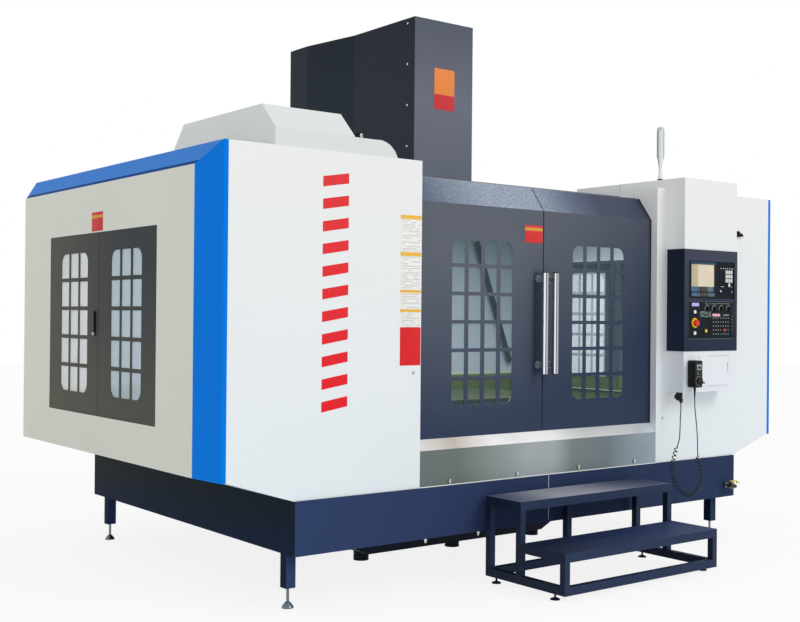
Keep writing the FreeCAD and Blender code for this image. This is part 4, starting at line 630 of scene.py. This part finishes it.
def clearPane(name, colour, cover, rear=None):
    # laminated sheet: faint haze, wiped streaks
    glass = Finish(name)
    haze = glass.noise(2.0, 5.0, 0.65, (1.0, 1.0, 0.35))
    shade = glass.mix(haze, scaled(colour, 0.9), colour)
    # paler panes towards the back on the left side: painted reflection
    if rear:
        shade = glass.mix(glass.climb(1, 1.45, 1.6) * (glass.along(0) < 0.0), shade, rear)
    glass.fill(glass.shader, {"Alpha": cover, "IOR": 1.5})
    return glass.coat(shade, 0.04 + haze * 0.08)


def makeBluePaint():
    # the sloping cap along the top is lighter, for dust and a painted sky reflection, and has a painted shadow along
    # its lower lip
    paint = Finish("cornerBlue")
    slow = paint.noise(1.2, 3.0, 0.55)
    shade = paint.mix(slow, (1, 120, 228), (4, 130, 240))
    cap = paint.climb(2, capFoot - 0.002, capFoot + 0.002)
    behindMitre = paint.level(paint.along(1) + (paint.along(2) - capMitre["top"]) * capMitre["run"], 0.0, 0.006)
    # the cap: lighter for dust and a painted sky reflection, with a painted shadow along its lower lip
    capDustSheenAndShadow = paint.mix(paint.band(2, capFoot, capFoot + 0.016), (66, 136, 222), (20, 70, 140))
    rear = paint.climb(1, 2.62, 2.622) * (1 - cap)
    shade = paint.over(shade, (cap * behindMitre, capDustSheenAndShadow), (rear, (220, 223, 212)),
                       (paint.inward(), insideTone(paint)))
    peel = paint.noise(420.0, 2.0, 0.6)
    return paint.coat(shade, 0.34 + slow * 0.08, 0.02, paint.bump(peel, 0.0002, 0.4))


def makeLampFinish():
    # signal lamp: dark foot, bright neck and cone, milky tube with painted shade down its sides, and a paler cap
    lamp = Finish("signalLampStack")
    # painted shade at the sides of the milky tube
    edge = abs(lamp.facing(sideRight))
    tube = lamp.mix(lamp.noise(30.0, 2.0, 0.5), (226, 236, 233), (238, 244, 242))
    tube = lamp.mix(lamp.level(edge, 0.45, 0.85), tube, (142, 158, 154))
    shade = lamp.over(
        (226, 230, 230), (lamp.climb(2, 2.699, 2.702), tube),
        (lamp.climb(2, 2.893, 2.896), (214, 218, 216)),
        (lamp.climb(2, 2.559, 2.556), (62, 64, 70)),
    )
    metal = lamp.band(2, 2.558, 2.701)
    return lamp.coat(shade, 0.32 - metal * 0.14, metal=metal * 0.75)


def makeUnitFinish():
    # display unit: dark bezel, the pale keys of the number block, small marks
    unit = Finish("displayUnitPlastic")
    raised = unit.along(1) < -0.145
    keys = unit.patch((1.594, 1.677), (1.8385, 1.9255)) + unit.patch((1.6285, 1.6515), (1.807, 1.833))
    marks = unit.dots((1.543, 1.691), (1.936, 1.936), (0.02467, 0.02), 0.0042)
    marks = marks + unit.ring(1.5445, 1.776, 0.0, 0.0075) + unit.patch((1.545, 1.58), (1.806, 1.81))
    marks = marks + unit.patch((1.648, 1.675), (1.805, 1.808)) * 0.5
    shade = unit.over(
        (14, 20, 30), (unit.noise(5.0, 3.0, 0.6), (22, 30, 40)),
        (unit.level(keys * raised), (222, 224, 222)),
        (unit.patch((1.22, 1.49), (1.959, 1.974)), (50, 84, 104)),
        (unit.level(marks), (226, 230, 230)),
        (unit.ring(1.67, 1.773, 0.0, 0.0065), (130, 190, 204)),
    )
    return moulded(unit, shade, 0.42, gloss=0.06)


def makePanelFinish():
    # operator panel: outline, mark fields, key lamps, the yellow ring of the stop, white switch caps
    panel = Finish("operatorPanelPlastic")
    rim = panel.patch((1.192, 1.688), (1.4395, 1.7045)) - panel.patch((1.1955, 1.6845), (1.443, 1.701))
    lamps = panel.dots((1.463, 1.631), (1.475, 1.587), (0.028, 0.028), 0.0046)
    keys = panel.dots((1.676, 1.676), (1.508, 1.6), (0.02, 0.023), 0.0042)
    ragged = panel.noise(1.0, 0.0, 0.5, (120.0, 1.0, 118.0)) > 0.46
    rows = panel.repeat(2, 1.59, 0.0085) > 0.45
    ticks = panel.patch((1.318, 1.438), (1.59, 1.6325)) + panel.patch((1.37, 1.655), (1.682, 1.6905))
    caps = panel.ring(1.256, 1.628, 0.0, 0.0125) + panel.ring(1.256, 1.482, 0.0, 0.0125)
    shade = panel.over(
        (12, 20, 26), (panel.noise(5.0, 3.0, 0.6), (22, 32, 38)),
        (panel.level(rim) * 0.8, (126, 136, 138)),
        (lamps * 0.85, (170, 188, 180)), (keys * 0.8, (190, 120, 112)),
        (ticks * rows * ragged * 0.75, (168, 196, 188)),
        (panel.patch((1.23, 1.306), (1.667, 1.69)), (198, 184, 252)),
        (panel.patch((1.453, 1.539), (1.598, 1.617)), (246, 176, 194)),
        (panel.patch((1.575, 1.64), (1.606, 1.61)), (210, 214, 214)),
        (panel.ring(1.263, 1.552, 0.0, 0.0345), (255, 212, 20)),
        (panel.level(caps), (238, 240, 240)),
    )
    return moulded(panel, shade, 0.42, gloss=0.05)


def makeLatchFinish():
    latch = Finish("latchPlastic")
    silver = latch.band(2, 1.446, 1.466)
    shade = latch.mix(silver, (20, 22, 26), (190, 192, 192))
    latch.fill(latch.shader, {"Metallic": silver * 0.9})
    return moulded(latch, shade, 0.38)


def makeTubeFinish():
    # polished tube: bright, with painted reflection stripes and dark painted edges, satin grey posts, and the black
    # plastic ring at either end
    tube = Finish("handleTube")
    black = tube.climb(2, 1.8605, 1.8615) + tube.climb(2, 1.2255, 1.2245)
    post = tube.climb(1, 0.0065, 0.0085)
    wear = tube.noise(50.0, 4.0, 0.6)
    # painted reflection on the tube: a dark stripe and a grey band down its right side, and dark edges
    turned = tube.facing(sideRight)
    shade = tube.over(
        (236, 238, 240), (wear, (250, 251, 252)),
        (tube.level(turned, 0.05, 0.2), (44, 52, 62)),
        (tube.level(turned, 0.3, 0.42), (176, 182, 188)),
        (tube.level(abs(turned), 0.93, 0.99), (40, 50, 66)),
        (post, (136, 146, 152)), (black, (16, 18, 20)),
    )
    rough = 0.08 + black * 0.3 + post * 0.3 + wear * 0.05
    return tube.coat(shade, rough, metal=1.0 - tube.level(black + post * 0.7))


white = (240, 242, 241)
sidePaint = sheetPaint("sidePaint", (220, 223, 212), lined=True, gloss=0.35)
frontPaint = sheetPaint("frontPaint", white, lined=True, cool=(230, 240, 246))
humpPaint = sheetPaint("humpPaint", (223, 227, 227), lined=True)
# painted shadow lines round the console flap
flapShadowLines = (((1.395, 1.64), (1.3195, 1.3235)), ((1.395, 1.625), (1.114, 1.1175)),
             ((1.6425, 1.645), (1.18, 1.32)))
consolePaint = sheetPaint("consolePaint", white, cool=(226, 234, 246), seams=((1, 0.439),), lines=flapShadowLines)
roofPaint = sheetPaint("roofPaint", (226, 230, 230), lined=True, seams=((0, -roofSeam), (0, roofSeam), (1, 1.6)),
                       centre=(84, 94, 114))
backPaint = sheetPaint("backPaint", (220, 223, 212), lined=True, gloss=0.35,
                       seams=((0, -1.15), (0, 0.0), (0, 1.15), (2, 1.5)))
cabinetPaint = sheetPaint("cabinetPaint", (222, 225, 218), seams=((0, 0.46), (0, 1.12), (0, 1.78)))
bluePaint = makeBluePaint()
# the tones along the sill and the apron are painted reflections
sillSteel = brushedSteel("sillSteel", [
    (-1.0, 222, 220, 218), (-0.75, 200, 192, 182), (-0.45, 250, 250, 250),
    (0.05, 254, 255, 254), (0.35, 224, 227, 224), (0.95, 240, 244, 247)], 0.3, bright=0.03)
apronSteel = brushedSteel("apronSteel", [
    (-0.95, 112, 122, 120), (-0.75, 112, 122, 116), (-0.4, 146, 155, 155),
    (-0.2, 168, 175, 178), (0.05, 168, 175, 178), (0.22, 124, 134, 134),
    (0.55, 112, 124, 130), (0.98, 154, 168, 180)], 0.32)
railSteel = brushedSteel("railSteel", (160, 163, 166), 0.35)
zincPlate = plated("zincPlate", (196, 198, 200), 0.2)
nickelPlate = plated("nickelPlate", (150, 146, 138), 0.22)
spindleSteel = plated("spindleSteel", (196, 198, 200), 0.14)
machineCasting = castPaint("machineCasting", (26, 38, 54))
groundIron = castPaint("groundIron", (44, 52, 18), 0.5)
discAluminium = brushedSteel("discAluminium", (112, 116, 120), 0.35, (30.0, 30.0, 1.0))
blackPlastic = mouldedPlastic("blackPlastic", (11, 13, 16), gloss=0.2)
plugPlastic = mouldedPlastic("plugPlastic", (18, 19, 23), gloss=0.25)
redPlastic = mouldedPlastic("redPlastic", (228, 26, 26), 0.28, 0.4)
yellowPlastic = mouldedPlastic("yellowPlastic", (240, 206, 30), 0.35, 0.4)
cableRubber = mouldedPlastic("cableRubber", (24, 26, 32), 0.5)
doorGlass = clearPane("doorGlass", (92, 124, 134), 0.13)
# the side panes' pale half cover is a painted reflection
sideGlass = clearPane("sideGlass", (206, 222, 232), 0.5, (248, 249, 248))
leafPaint = makeLeafPaint()
latchPlastic = makeLatchFinish()

dress(sidePaint, *both("side_panel"))
dress(backPaint, "rear_panel")
dress(cabinetPaint, "electrical_cabinet")
dress(frontPaint, *both("front_panel"), "wing_pans")
dress(humpPaint, "roof_hump", "roof_cover")
dress(consolePaint, "console_box", "console_flap")
dress(roofPaint, "roof_panels")
dress(bluePaint, *both("side_frame"))
dress(makeTrayPaint(), "chip_tray")
dress(makeDoorPaint(), *both("door"))
dress(makeColumnPaint(), "column_cover")
dress(makeFasciaPaint(), "console_fascia")
dress(makeStepPaint(), "step_platform")
dress(sillSteel, "door_sill")
dress(apronSteel, "front_apron")
dress(railSteel, "door_track")
dress(plated("footSteel", (112, 124, 138), 0.2), "tray_feet")
dress(makeTubeFinish(), *both("door_handle"))
dress(nickelPlate, "drain_valve")
dress(plugPlastic, "cable_plug")
dress(spindleSteel, "spindle")
dress(machineCasting, "bed", "column", "saddle", "spindle_head", "tool_carriage")
dress(groundIron, "work_table")
dress(discAluminium, "tool_carousel")
dress(makeUnitFinish(), "display_unit")
dress(makePanelFinish(), "operator_panel")
dress(blackPlastic, "pendant_body", "pendant_handwheel",
      *["selector_knob_%d" % number for number in (1, 2, 3, 4)])
dress(latchPlastic, *both("side_latch"))
dress(redPlastic, "emergency_stop")
dress(mouldedPlastic("haltRed", (176, 34, 34), 0.32, 0.3), "halt_button")
dress(yellowPlastic, "start_button", "valve_lever")
dress(doorGlass, *both("door_window"))
dress(makeLampFinish(), "signal_lamp")
pendantCord.data.materials.append(cableRubber.material)
print("finishes on the solids")


def reached(first):  # indices of the vertices that edges join to the first
    group = {first}
    waiting = [first]
    while waiting:
        vert = waiting.pop()
        fresh = {line.other_vert(vert) for line in vert.link_edges} - group
        group |= fresh
        waiting.extend(fresh)
    return {vert.index for vert in group}


def looseParts(name):
    # a node's separate solids as Shapes, largest first
    whole = bmesh.new()
    whole.from_mesh(nodes[name].data)
    bmesh.ops.remove_doubles(whole, verts=whole.verts, dist=1e-5)
    whole.verts.index_update()
    waiting = {vert.index: vert for vert in whole.verts}
    shapes = []
    while waiting:
        group = reached(waiting[min(waiting)])
        waiting = {index: vert for index, vert in waiting.items() if index not in group}
        part = Shape(whole.copy())
        others = [vert for vert in part.mesh.verts if vert.index not in group]
        bmesh.ops.delete(part.mesh, geom=others, context="VERTS")
        shapes.append(part)
    whole.free()
    return sorted(shapes, key=Shape.spread, reverse=True)


# side doors: painted leaf, clear pane and latch plate become separate pieces
def makeSideDoors():
    for side in ("left", "right"):
        for leaf in ("front", "rear"):
            node = side + "_side_door_" + leaf
            body = side + "_side_leaf_" + leaf
            parts = looseParts(node)
            name = side + leaf.capitalize()
            parts[0].piece(name + "Leaf", leafPaint, "side_leaf_paint", body, [node])
            parts[1].piece(name + "Pane", sideGlass, "pane", body, [node])
            for extra in parts[2:]:
                extra.piece(name + "LatchPlate", blackPlastic, "handle_black", body, [node])


makeSideDoors()
print("side doors made")


# plates and marks, all blank
def plate(name, low, high, finish, slot, body="machine"):
    Shape().block(low, high, 0.0004).piece(name, finish, slot, body)


def twoTone(name, first, second, share):
    # enamel whose second colour shows where share says
    paint = Finish(name)
    wear = paint.noise(25.0, 4.0, 0.65)
    shade = paint.mix(paint.level(share(paint)), first, second)
    return paint.coat(paint.mix(wear * 0.12, shade, (130, 126, 122)), 0.5 + wear * 0.1, 0.25)


board = {
    "x": (-1.186, -1.037),
    "z": (1.3, 2.161),
    "thick": 0.0016,
    "rule": 0.0125,
    "stripes": ((2.138, 2.161), (1.926, 1.949), (1.716, 1.732), (1.606, 1.622)),
    "redTop": 1.518,
}


def makeBoard():
    # ruled data board: cream with grey rules, ochre stripes and a red foot
    card = Finish("boardEnamel")
    paper = card.mix(card.noise(20.0, 3.0), (236, 236, 232), (246, 246, 242))
    rows = card.repeat(2, board["z"][0], board["rule"])
    ragged = card.noise(1.0, 0.0, 0.5, (22.0, 1.0, 1.0 / board["rule"])) > 0.44
    lines = (rows > 0.35) * (rows < 0.72) * ragged * card.band(0, -1.176, -1.047, 0.0005)
    shade = card.mix(lines * 0.5, paper, (132, 140, 146))
    for low, high in board["stripes"]:
        shade = card.mix(card.band(2, low, high), shade, (240, 186, 66))
    shade = card.mix(card.climb(2, board["redTop"] + 0.0005, board["redTop"]), shade, (226, 30, 36))
    card.coat(shade, 0.45, 0.25)
    (x0, x1), (z0, z1), thick = board["x"], board["z"], board["thick"]
    plate("ruledBoard", (x0, -thick, z0), (x1, sunk, z1), card, "front_paint")


slantBars = {"x": (-1.719, -1.549), "z": (1.056, 2.366), "count": 11, "tall": 0.056, "rise": 0.028,
             "thick": 0.0012}


def makeSlantBars():
    # plain slanted stripes down the left front sheet
    red = Finish("stripeRed")
    fade = red.sweep(2, (1.0, 236, 4, 30), (2.4, 232, 52, 56))
    red.coat(red.mix(red.noise(8.0, 3.0) * 0.15, fade, (200, 40, 46)), 0.4, 0.25)
    (x0, x1), (z0, z1) = slantBars["x"], slantBars["z"]
    tall, rise = slantBars["tall"], slantBars["rise"]
    pitch = (z1 - z0 - tall - rise) / (slantBars["count"] - 1)
    shape = Shape()
    for number in range(slantBars["count"]):
        low = z0 + pitch * number
        corners = [(x0, sunk, low), (x1, sunk, low + rise), (x1, sunk, low + rise + tall), (x0, sunk, low + tall)]
        shape.sheet(corners, (0, -sunk - slantBars["thick"], 0))
    shape.piece("slantStripes", red, "front_paint")


def makePlates():
    # two-tone plate on the tower, and red ones with a gold band on the left side and the left door
    gold = (222, 160, 44)
    tower = twoTone("towerPlateEnamel", (214, 44, 48), (240, 138, 60),
                    lambda paint: paint.climb(2, 3.139, 3.141))
    plate("towerPlate", (-0.089, 1.0573, 3.035), (0.094, 1.0593, 3.322), tower, "start_yellow")
    side = twoTone("sidePlateEnamel", (212, 30, 36), gold, lambda paint: paint.band(2, 2.168, 2.186))
    plate("sidePlate", (-2.3534, 1.457, 2.088), (-2.3517, 1.625, 2.205), side, "stop_red")
    door = twoTone("doorPlateEnamel", (224, 40, 44), gold, lambda paint: paint.band(2, 2.128, 2.146))
    plate("doorPlate", (-0.163, 0.0525, 2.052), (-0.01, 0.0543, 2.161), door, "stop_red", "left_door_leaf")


makeBoard()
makeSlantBars()
makePlates()
print("boards and stripes made")

# small fittings on the sheets
fittings = {
    "camLocks": ((-1.088, 1.257), (1.101, 0.896)),
    "studs": ((-0.81, 0.613), (-0.265, 0.616), (0.276, 0.617), (0.812, 0.618)),
    "drains": (-0.962, -0.553),
    "towerScrews": (3.621, 3.337, 3.051, 2.765),
}


def makeFittings():
    locks = Shape()
    for x, z in fittings["camLocks"]:
        locks.turned([(0, 0), (0.0105, 0), (0.0105, 0.0016), (0.0092, 0.0026), (0.0074, 0.0026), (0.007, 0.0012),
                      (0, 0.0012)], (x, 0.0, z), (0, -1, 0), 24)
        locks.block((-0.0055, -0.0022, -0.0011), (0.0055, -0.001, 0.0011), 0.0002, 1, at=(x, 0, z))
    locks.piece("camLocks", zincPlate, "zinc")
    studs = Shape()
    for x, z in fittings["studs"]:
        studs.rod((x, -0.0005, z), (x, -0.0085, z), 0.0085, 16, 0.0015)
        studs.rod((x, -0.006, z - 0.017), (x, -0.006, z + 0.004), 0.004, 12)
        studs.block((x - 0.007, -0.01, z + 0.003), (x + 0.007, -0.0055, z + 0.012), 0.0012)
    studs.zinced("apronStuds")
    outline = [(0, 0), (0.006, 0), (0.006, 0.012), (0.009, 0.013), (0.009, 0.024), (0.005, 0.026), (0.005, 0.034),
               (0, 0.034)]
    drains = Shape().scatter(outline, [(x, 0.03, 0.262) for x in fittings["drains"]], (0, 0, 1), 16)
    drains.zinced("trayDrains")
    screws = Shape()
    for side in (-1, 1):
        places = [(side * 0.264, 1.141, z) for z in fittings["towerScrews"]]
        screws.scatter([(0, 0), (0.008, 0), (0.0076, 0.0018), (0.005, 0.0032), (0, 0.0036)], places,
                       (side, 0, 0), 14)
    screws.zinced("towerScrews")


def makeSeams():
    # a white bead along the tray's top edge under the doorway, a painted highlight of the rolled edge, and the pale
    # joint down the tray's front
    jointAndHighlightFinish = Finish("jointAndHighlight")
    lumps = jointAndHighlightFinish.noise(60.0, 3.0, 0.6)
    shade = jointAndHighlightFinish.mix(lumps, (226, 228, 226), (244, 245, 244))
    jointAndHighlightFinish.coat(shade, 0.5, normal=jointAndHighlightFinish.bump(lumps, 0.0015, 0.6))
    # painted highlight: a white rod along the tray's rolled top edge
    highlightAndJoint = Shape().rod((-doorwayHalf, -0.003, 0.5905), (doorwayHalf, -0.003, 0.5905), 0.0036, 10)
    highlightAndJoint.block((-0.0048, -0.0134, 0.31), (-0.0014, -0.0118, 0.586), 0.0004, 1)
    highlightAndJoint.piece("trayJointAndHighlight", jointAndHighlightFinish, "front_paint")


studFinish = plated("studPlate", (224, 226, 226), 0.24)
wedgePaint = mouldedPlastic("wedgePlastic", (8, 9, 12), gloss=0.1)
makeFittings()
makeSeams()
Shape().sheet([(1.919, 0.0004, 2.182), (1.976, 0.0004, 2.187), (1.96, 0.0004, 2.206), (1.936, 0.0004, 2.21),
               (1.924, 0.0004, 2.224), (1.919, 0.0004, 2.224)], (0, -0.02, 0)).piece(
    "cornerClip", wedgePaint, "handle_black")


def makeCoverFitting():
    # black hose union and a bright eye bolt on the small roof cover
    union = Shape().rod((-1.445, 0.1, 2.56), (-1.445, 0.1, 2.61), 0.014, 20)
    union.rod((-1.445, 0.1, 2.6), (-1.412, 0.088, 2.61), 0.009, 16)
    union.rod((-1.47, 0.126, 2.565), (-1.47, 0.126, 2.612), 0.008, 14)
    union.piece("coverUnion", wedgePaint, "handle_black")
    eye = Shape().hoop(0.0105, 0.0155, 0.0035, (-1.412, 0.078, 2.594), (0.6, -0.8, 0), 24)
    eye.rod((-1.412, 0.078, 2.562), (-1.412, 0.078, 2.582), 0.006, 14)
    eye.zinced("coverEye")


makeCoverFitting()

# screen, soft keys and dials of the console
screen = {"x": (1.2225, 1.4735), "z": (1.7685, 1.9575), "y": -0.1412}


def makeScreen():
    picture = Finish("screenPicture")
    rules = picture.repeat(2, screen["z"][0], 0.0135) < 0.16
    columns = picture.repeat(0, screen["x"][0], 0.031) < 0.06
    listing = picture.band(0, screen["x"][0], 1.295)
    body = picture.over(
        (222, 208, 182), (picture.noise(12.0, 2.0), (236, 222, 200)),
        (rules * 0.22, (150, 140, 116)), (columns * 0.16, (150, 140, 116)),
        (listing * 0.6, (164, 164, 112)),
    )
    footer = picture.sweep(0, (1.222, 74, 118, 160), (1.3, 60, 98, 132), (1.312, 60, 54, 34),
                           (1.4, 52, 50, 38), (1.412, 84, 116, 128), (1.474, 60, 92, 110))
    body = picture.mix(picture.band(2, 1.76, 1.804), body, footer)
    picture.coat(body, 0.22, 0.3)
    (x0, x1), (z0, z1) = screen["x"], screen["z"]
    plate("screenPicture", (x0, screen["y"], z0), (x1, -0.1399, z1), picture, "unit_black")


softKeys = {"count": 8, "start": 1.226, "pitch": 0.0314, "wide": 0.027}


def makeSoftKeys():
    keys = Finish("softKeys")
    low = keys.sweep(0, (1.222, 74, 118, 160), (1.3, 72, 108, 140), (1.312, 66, 58, 34),
                     (1.4, 58, 54, 40), (1.412, 84, 116, 128), (1.474, 70, 104, 122))
    keys.coat(keys.mix(keys.noise(60.0) * 0.3, low, (120, 132, 136)), 0.4, 0.2)
    row = Shape()
    for number in range(softKeys["count"]):
        x = softKeys["start"] + number * softKeys["pitch"]
        row.block((x, -0.1458, 1.736), (x + softKeys["wide"], -0.1438, 1.761), 0.0006)
    row.piece("softKeyRow", keys, "unit_black")


dials = {
    "x": (1.393, 1.473, 1.549, 1.631),
    "y": -0.1439,
    "z": 1.652,
    "arc": (0.0205, 0.0224),
    "tick": (0.0236, 0.0272),
    "ticks": 9,
    "start": -30.0,
    "sweep": 240.0,
}


def makeDials():
    # printed scales round the four selector knobs
    marks = Shape()
    for x in dials["x"]:
        middle = (x, dials["y"], dials["z"])
        marks.arc(middle, dials["arc"], -0.0005, dials["start"], dials["sweep"])
        for number in range(dials["ticks"]):
            angle = math.radians(dials["start"] + dials["sweep"] * number / (dials["ticks"] - 1))
            turn = Matrix.Rotation(-angle, 3, "Y")
            marks.block((dials["tick"][0], -0.0005, -0.0005), (dials["tick"][1], 0.0001, 0.0005), 0.0001, 1,
                        turn, middle)
    marks.piece("dialScales", markPaint, "unit_black")


def makePendantFace():
    # pale dial plates under the pendant's two selectors, and the printed ring round the handwheel
    face = Shape()
    face.block((1.201, -0.2138, 1.231), (1.248, -0.2126, 1.269), 0.0005)
    face.block((1.206, -0.2138, 1.201), (1.242, -0.2126, 1.22), 0.0005)
    face.arc((1.221, -0.2128, 1.156), (0.029, 0.0325), -0.0008, 0.0, 359.0, 40)
    face.piece("pendantScales", scalePlate, "grey_sheet")


markPaint = twoTone("markPaint", (214, 218, 218), (236, 238, 238), lambda paint: paint.noise(200.0))
scalePlate = twoTone("scalePlate", (150, 156, 158), (176, 180, 180), lambda paint: paint.noise(300.0))
pullPaint = twoTone("pullPaint", (150, 158, 168), (120, 128, 138), lambda paint: paint.noise(90.0))
makeScreen()
makeSoftKeys()
makeDials()
makePendantFace()
plate("flapPull", (1.6188, -0.1503, 1.206), (1.6214, -0.1491, 1.277), pullPaint, "grey_sheet", "flap_door")
print("console details made")


def makeWallBrace():
    # diagonal brace on the rear wall, seen through the left window
    brace = Shape()
    start, end = Vector((1.862, 2.835, 2.27)), Vector((2.284, 2.835, 1.16))
    turn = Vector((0, 0, 1)).rotation_difference(end - start).to_matrix()
    length = (end - start).length
    brace.block((-0.028, -0.026, 0), (0.028, -0.02, length), 0.001, 2, turn, start)
    brace.block((-0.028, -0.022, 0), (-0.022, 0.026, length), 0.001, 2, turn, start)
    brace.piece("wallBrace", bracePaint, "casting")


workLight = {"half": 0.62, "y": 0.52, "z": 2.385, "radius": 0.024, "clips": (-0.6, -0.2, 0.2, 0.6)}


def makeWorkLight():
    # tube lamp in its clips under the roof
    light = Finish("lampTube")
    light.coat(light.mix(light.noise(30.0), (228, 232, 232), (244, 246, 246)), 0.35)
    half, y, z = workLight["half"], workLight["y"], workLight["z"]
    tube = Shape().rod((-half, y, z), (half, y, z), workLight["radius"], 24)
    tube.piece("workLightTube", light, "front_paint")
    clips = Shape()
    for x in workLight["clips"]:
        clips.hoop(0.0242, 0.0275, 0.011, (x, y, z), (1, 0, 0), 24)
        clips.block((x - 0.01, y - 0.02, z + 0.023), (x + 0.01, y + 0.02, z + 0.0365), 0.0015)
    clips.zinced("workLightClips")


bracePaint = castPaint("bracePaint", (15, 20, 26))
makeWallBrace()
makeWorkLight()

# back and roof: louvres, hinges, screws and lifting eyes
cabinetDetails = {
    "face": 3.268,
    "louvres": ((0.56, 1.02), (1.22, 1.68)),
    "rows": 9,
    "lowRow": 0.76,
    "pitch": 0.03,
    "hinges": (0.82, 1.45, 2.08),
}


def makeCabinetDetails():
    face = cabinetDetails["face"]
    slats = Shape()
    for x0, x1 in cabinetDetails["louvres"]:
        for number in range(cabinetDetails["rows"]):
            z = cabinetDetails["lowRow"] + number * cabinetDetails["pitch"]
            slats.sheet([(x0, face - 0.0005, z), (x0, face + 0.0095, z + 0.002), (x0, face - 0.0005, z + 0.02)],
                        (x1 - x0, 0, 0))
    slats.piece("cabinetLouvres", cabinetPaint, "side_panel_paint")
    hinges = Shape()
    for x in (0.45, 1.79):
        for z in cabinetDetails["hinges"]:
            hinges.rod((x, face + 0.004, z - 0.035), (x, face + 0.004, z + 0.035), 0.008, 16)
            hinges.block((x - 0.02, face - 0.0005, z - 0.03), (x + 0.02, face + 0.003, z + 0.03), 0.001)
    hinges.zinced("cabinetHinges")


roofEyes = {"x": (-2.1, 2.1), "y": (0.4, 2.3), "foot": 2.4795, "ring": 2.52}


def makeRoofEyes():
    eyes = Shape()
    for x in roofEyes["x"]:
        for y in roofEyes["y"]:
            eyes.turned([(0, 0), (0.03, 0), (0.03, 0.006), (0.014, 0.012), (0.014, 0.018), (0, 0.018)],
                        (x, y, roofEyes["foot"]), (0, 0, 1), 20)
            eyes.hoop(0.017, 0.031, 0.007, (x, y, roofEyes["ring"]), (0, 1, 0), 28)
    eyes.zinced("roofEyes")


backScrews = {"x": (-2.24, -1.17, -1.13, -0.02, 0.02, 0.4), "y": 2.8658, "z": (0.8, 1.15, 1.52, 1.85, 2.25)}


def makeBackScrews():
    # cap screws along the seams of the rear wall
    places = [(x, backScrews["y"], z) for x in backScrews["x"] for z in backScrews["z"]]
    screws = Shape().scatter([(0, 0), (0.0085, 0), (0.008, 0.0018), (0.005, 0.0032), (0, 0.0036)], places,
                             (0, 1, 0), 12)
    screws.zinced("backScrews")


makeCabinetDetails()
makeRoofEyes()
makeBackScrews()
print("back and roof details made")

# floor, backdrop and lamps
studio = {
    "floorHalf": 30.0,
    "skyStrength": 0.74,
    "floorGlow": 0.86,
    "key": {"power": 0.83, "aim": (-0.35, 0.75, -0.6), "soft": 25.0},
    "inside": {"power": 136.0, "size": (3.6, 1.2), "place": (0.0, 1.2, 2.36)},
}


def makeFloor():
    half = studio["floorHalf"]
    data = bpy.data.meshes.new("floor")
    data.from_pydata([(-half, -half, 0), (half, -half, 0), (half, half, 0), (-half, half, 0)], [], [(0, 1, 2, 3)])
    floor = added("floor", data)
    concrete = Finish("paleFloor")
    stain = concrete.noise(0.8, 3.0, 0.5)
    concrete.coat(concrete.mix(stain, grey(0.84), grey(0.88)), 0.75)
    glow = concrete.add("ShaderNodeEmission", values={"Color": grey(1.0), "Strength": 1.0})
    lit = Signal(concrete, concrete.shader.outputs[0])
    blend = concrete.add("ShaderNodeMixShader", values={0: concrete.seen() * studio["floorGlow"], 1: lit, 2: glow})
    concrete.fill(concrete.tree.nodes["Material Output"], {"Surface": blend})
    data.materials.append(concrete.material)


def makeSky():
    scene.world = bpy.data.worlds.new("studioSky")
    sky = Maker(scene.world)
    reach = {"Value": sky.seen(), "To Min": studio["skyStrength"], "To Max": 1.0}
    strength = sky.add("ShaderNodeMapRange", values=reach)
    sky.fill(sky.tree.nodes["Background"], {"Color": grey(1.0), "Strength": strength})


def makeLamps():
    key = bpy.data.lights.new("keyLamp", "SUN")
    key.energy = studio["key"]["power"]
    key.angle = math.radians(studio["key"]["soft"])
    lamp = added("keyLamp", key)
    lamp.rotation_mode = "QUATERNION"
    lamp.rotation_quaternion = Vector(studio["key"]["aim"]).to_track_quat("-Z", "Y")
    inner = studio["inside"]
    strip = bpy.data.lights.new("workLamp", "AREA")
    strip.shape = "RECTANGLE"
    strip.size, strip.size_y = inner["size"]
    strip.energy = inner["power"]
    added("workLamp", strip).location = inner["place"]


makeFloor()
makeSky()
makeLamps()
print("floor, sky and lamps made")
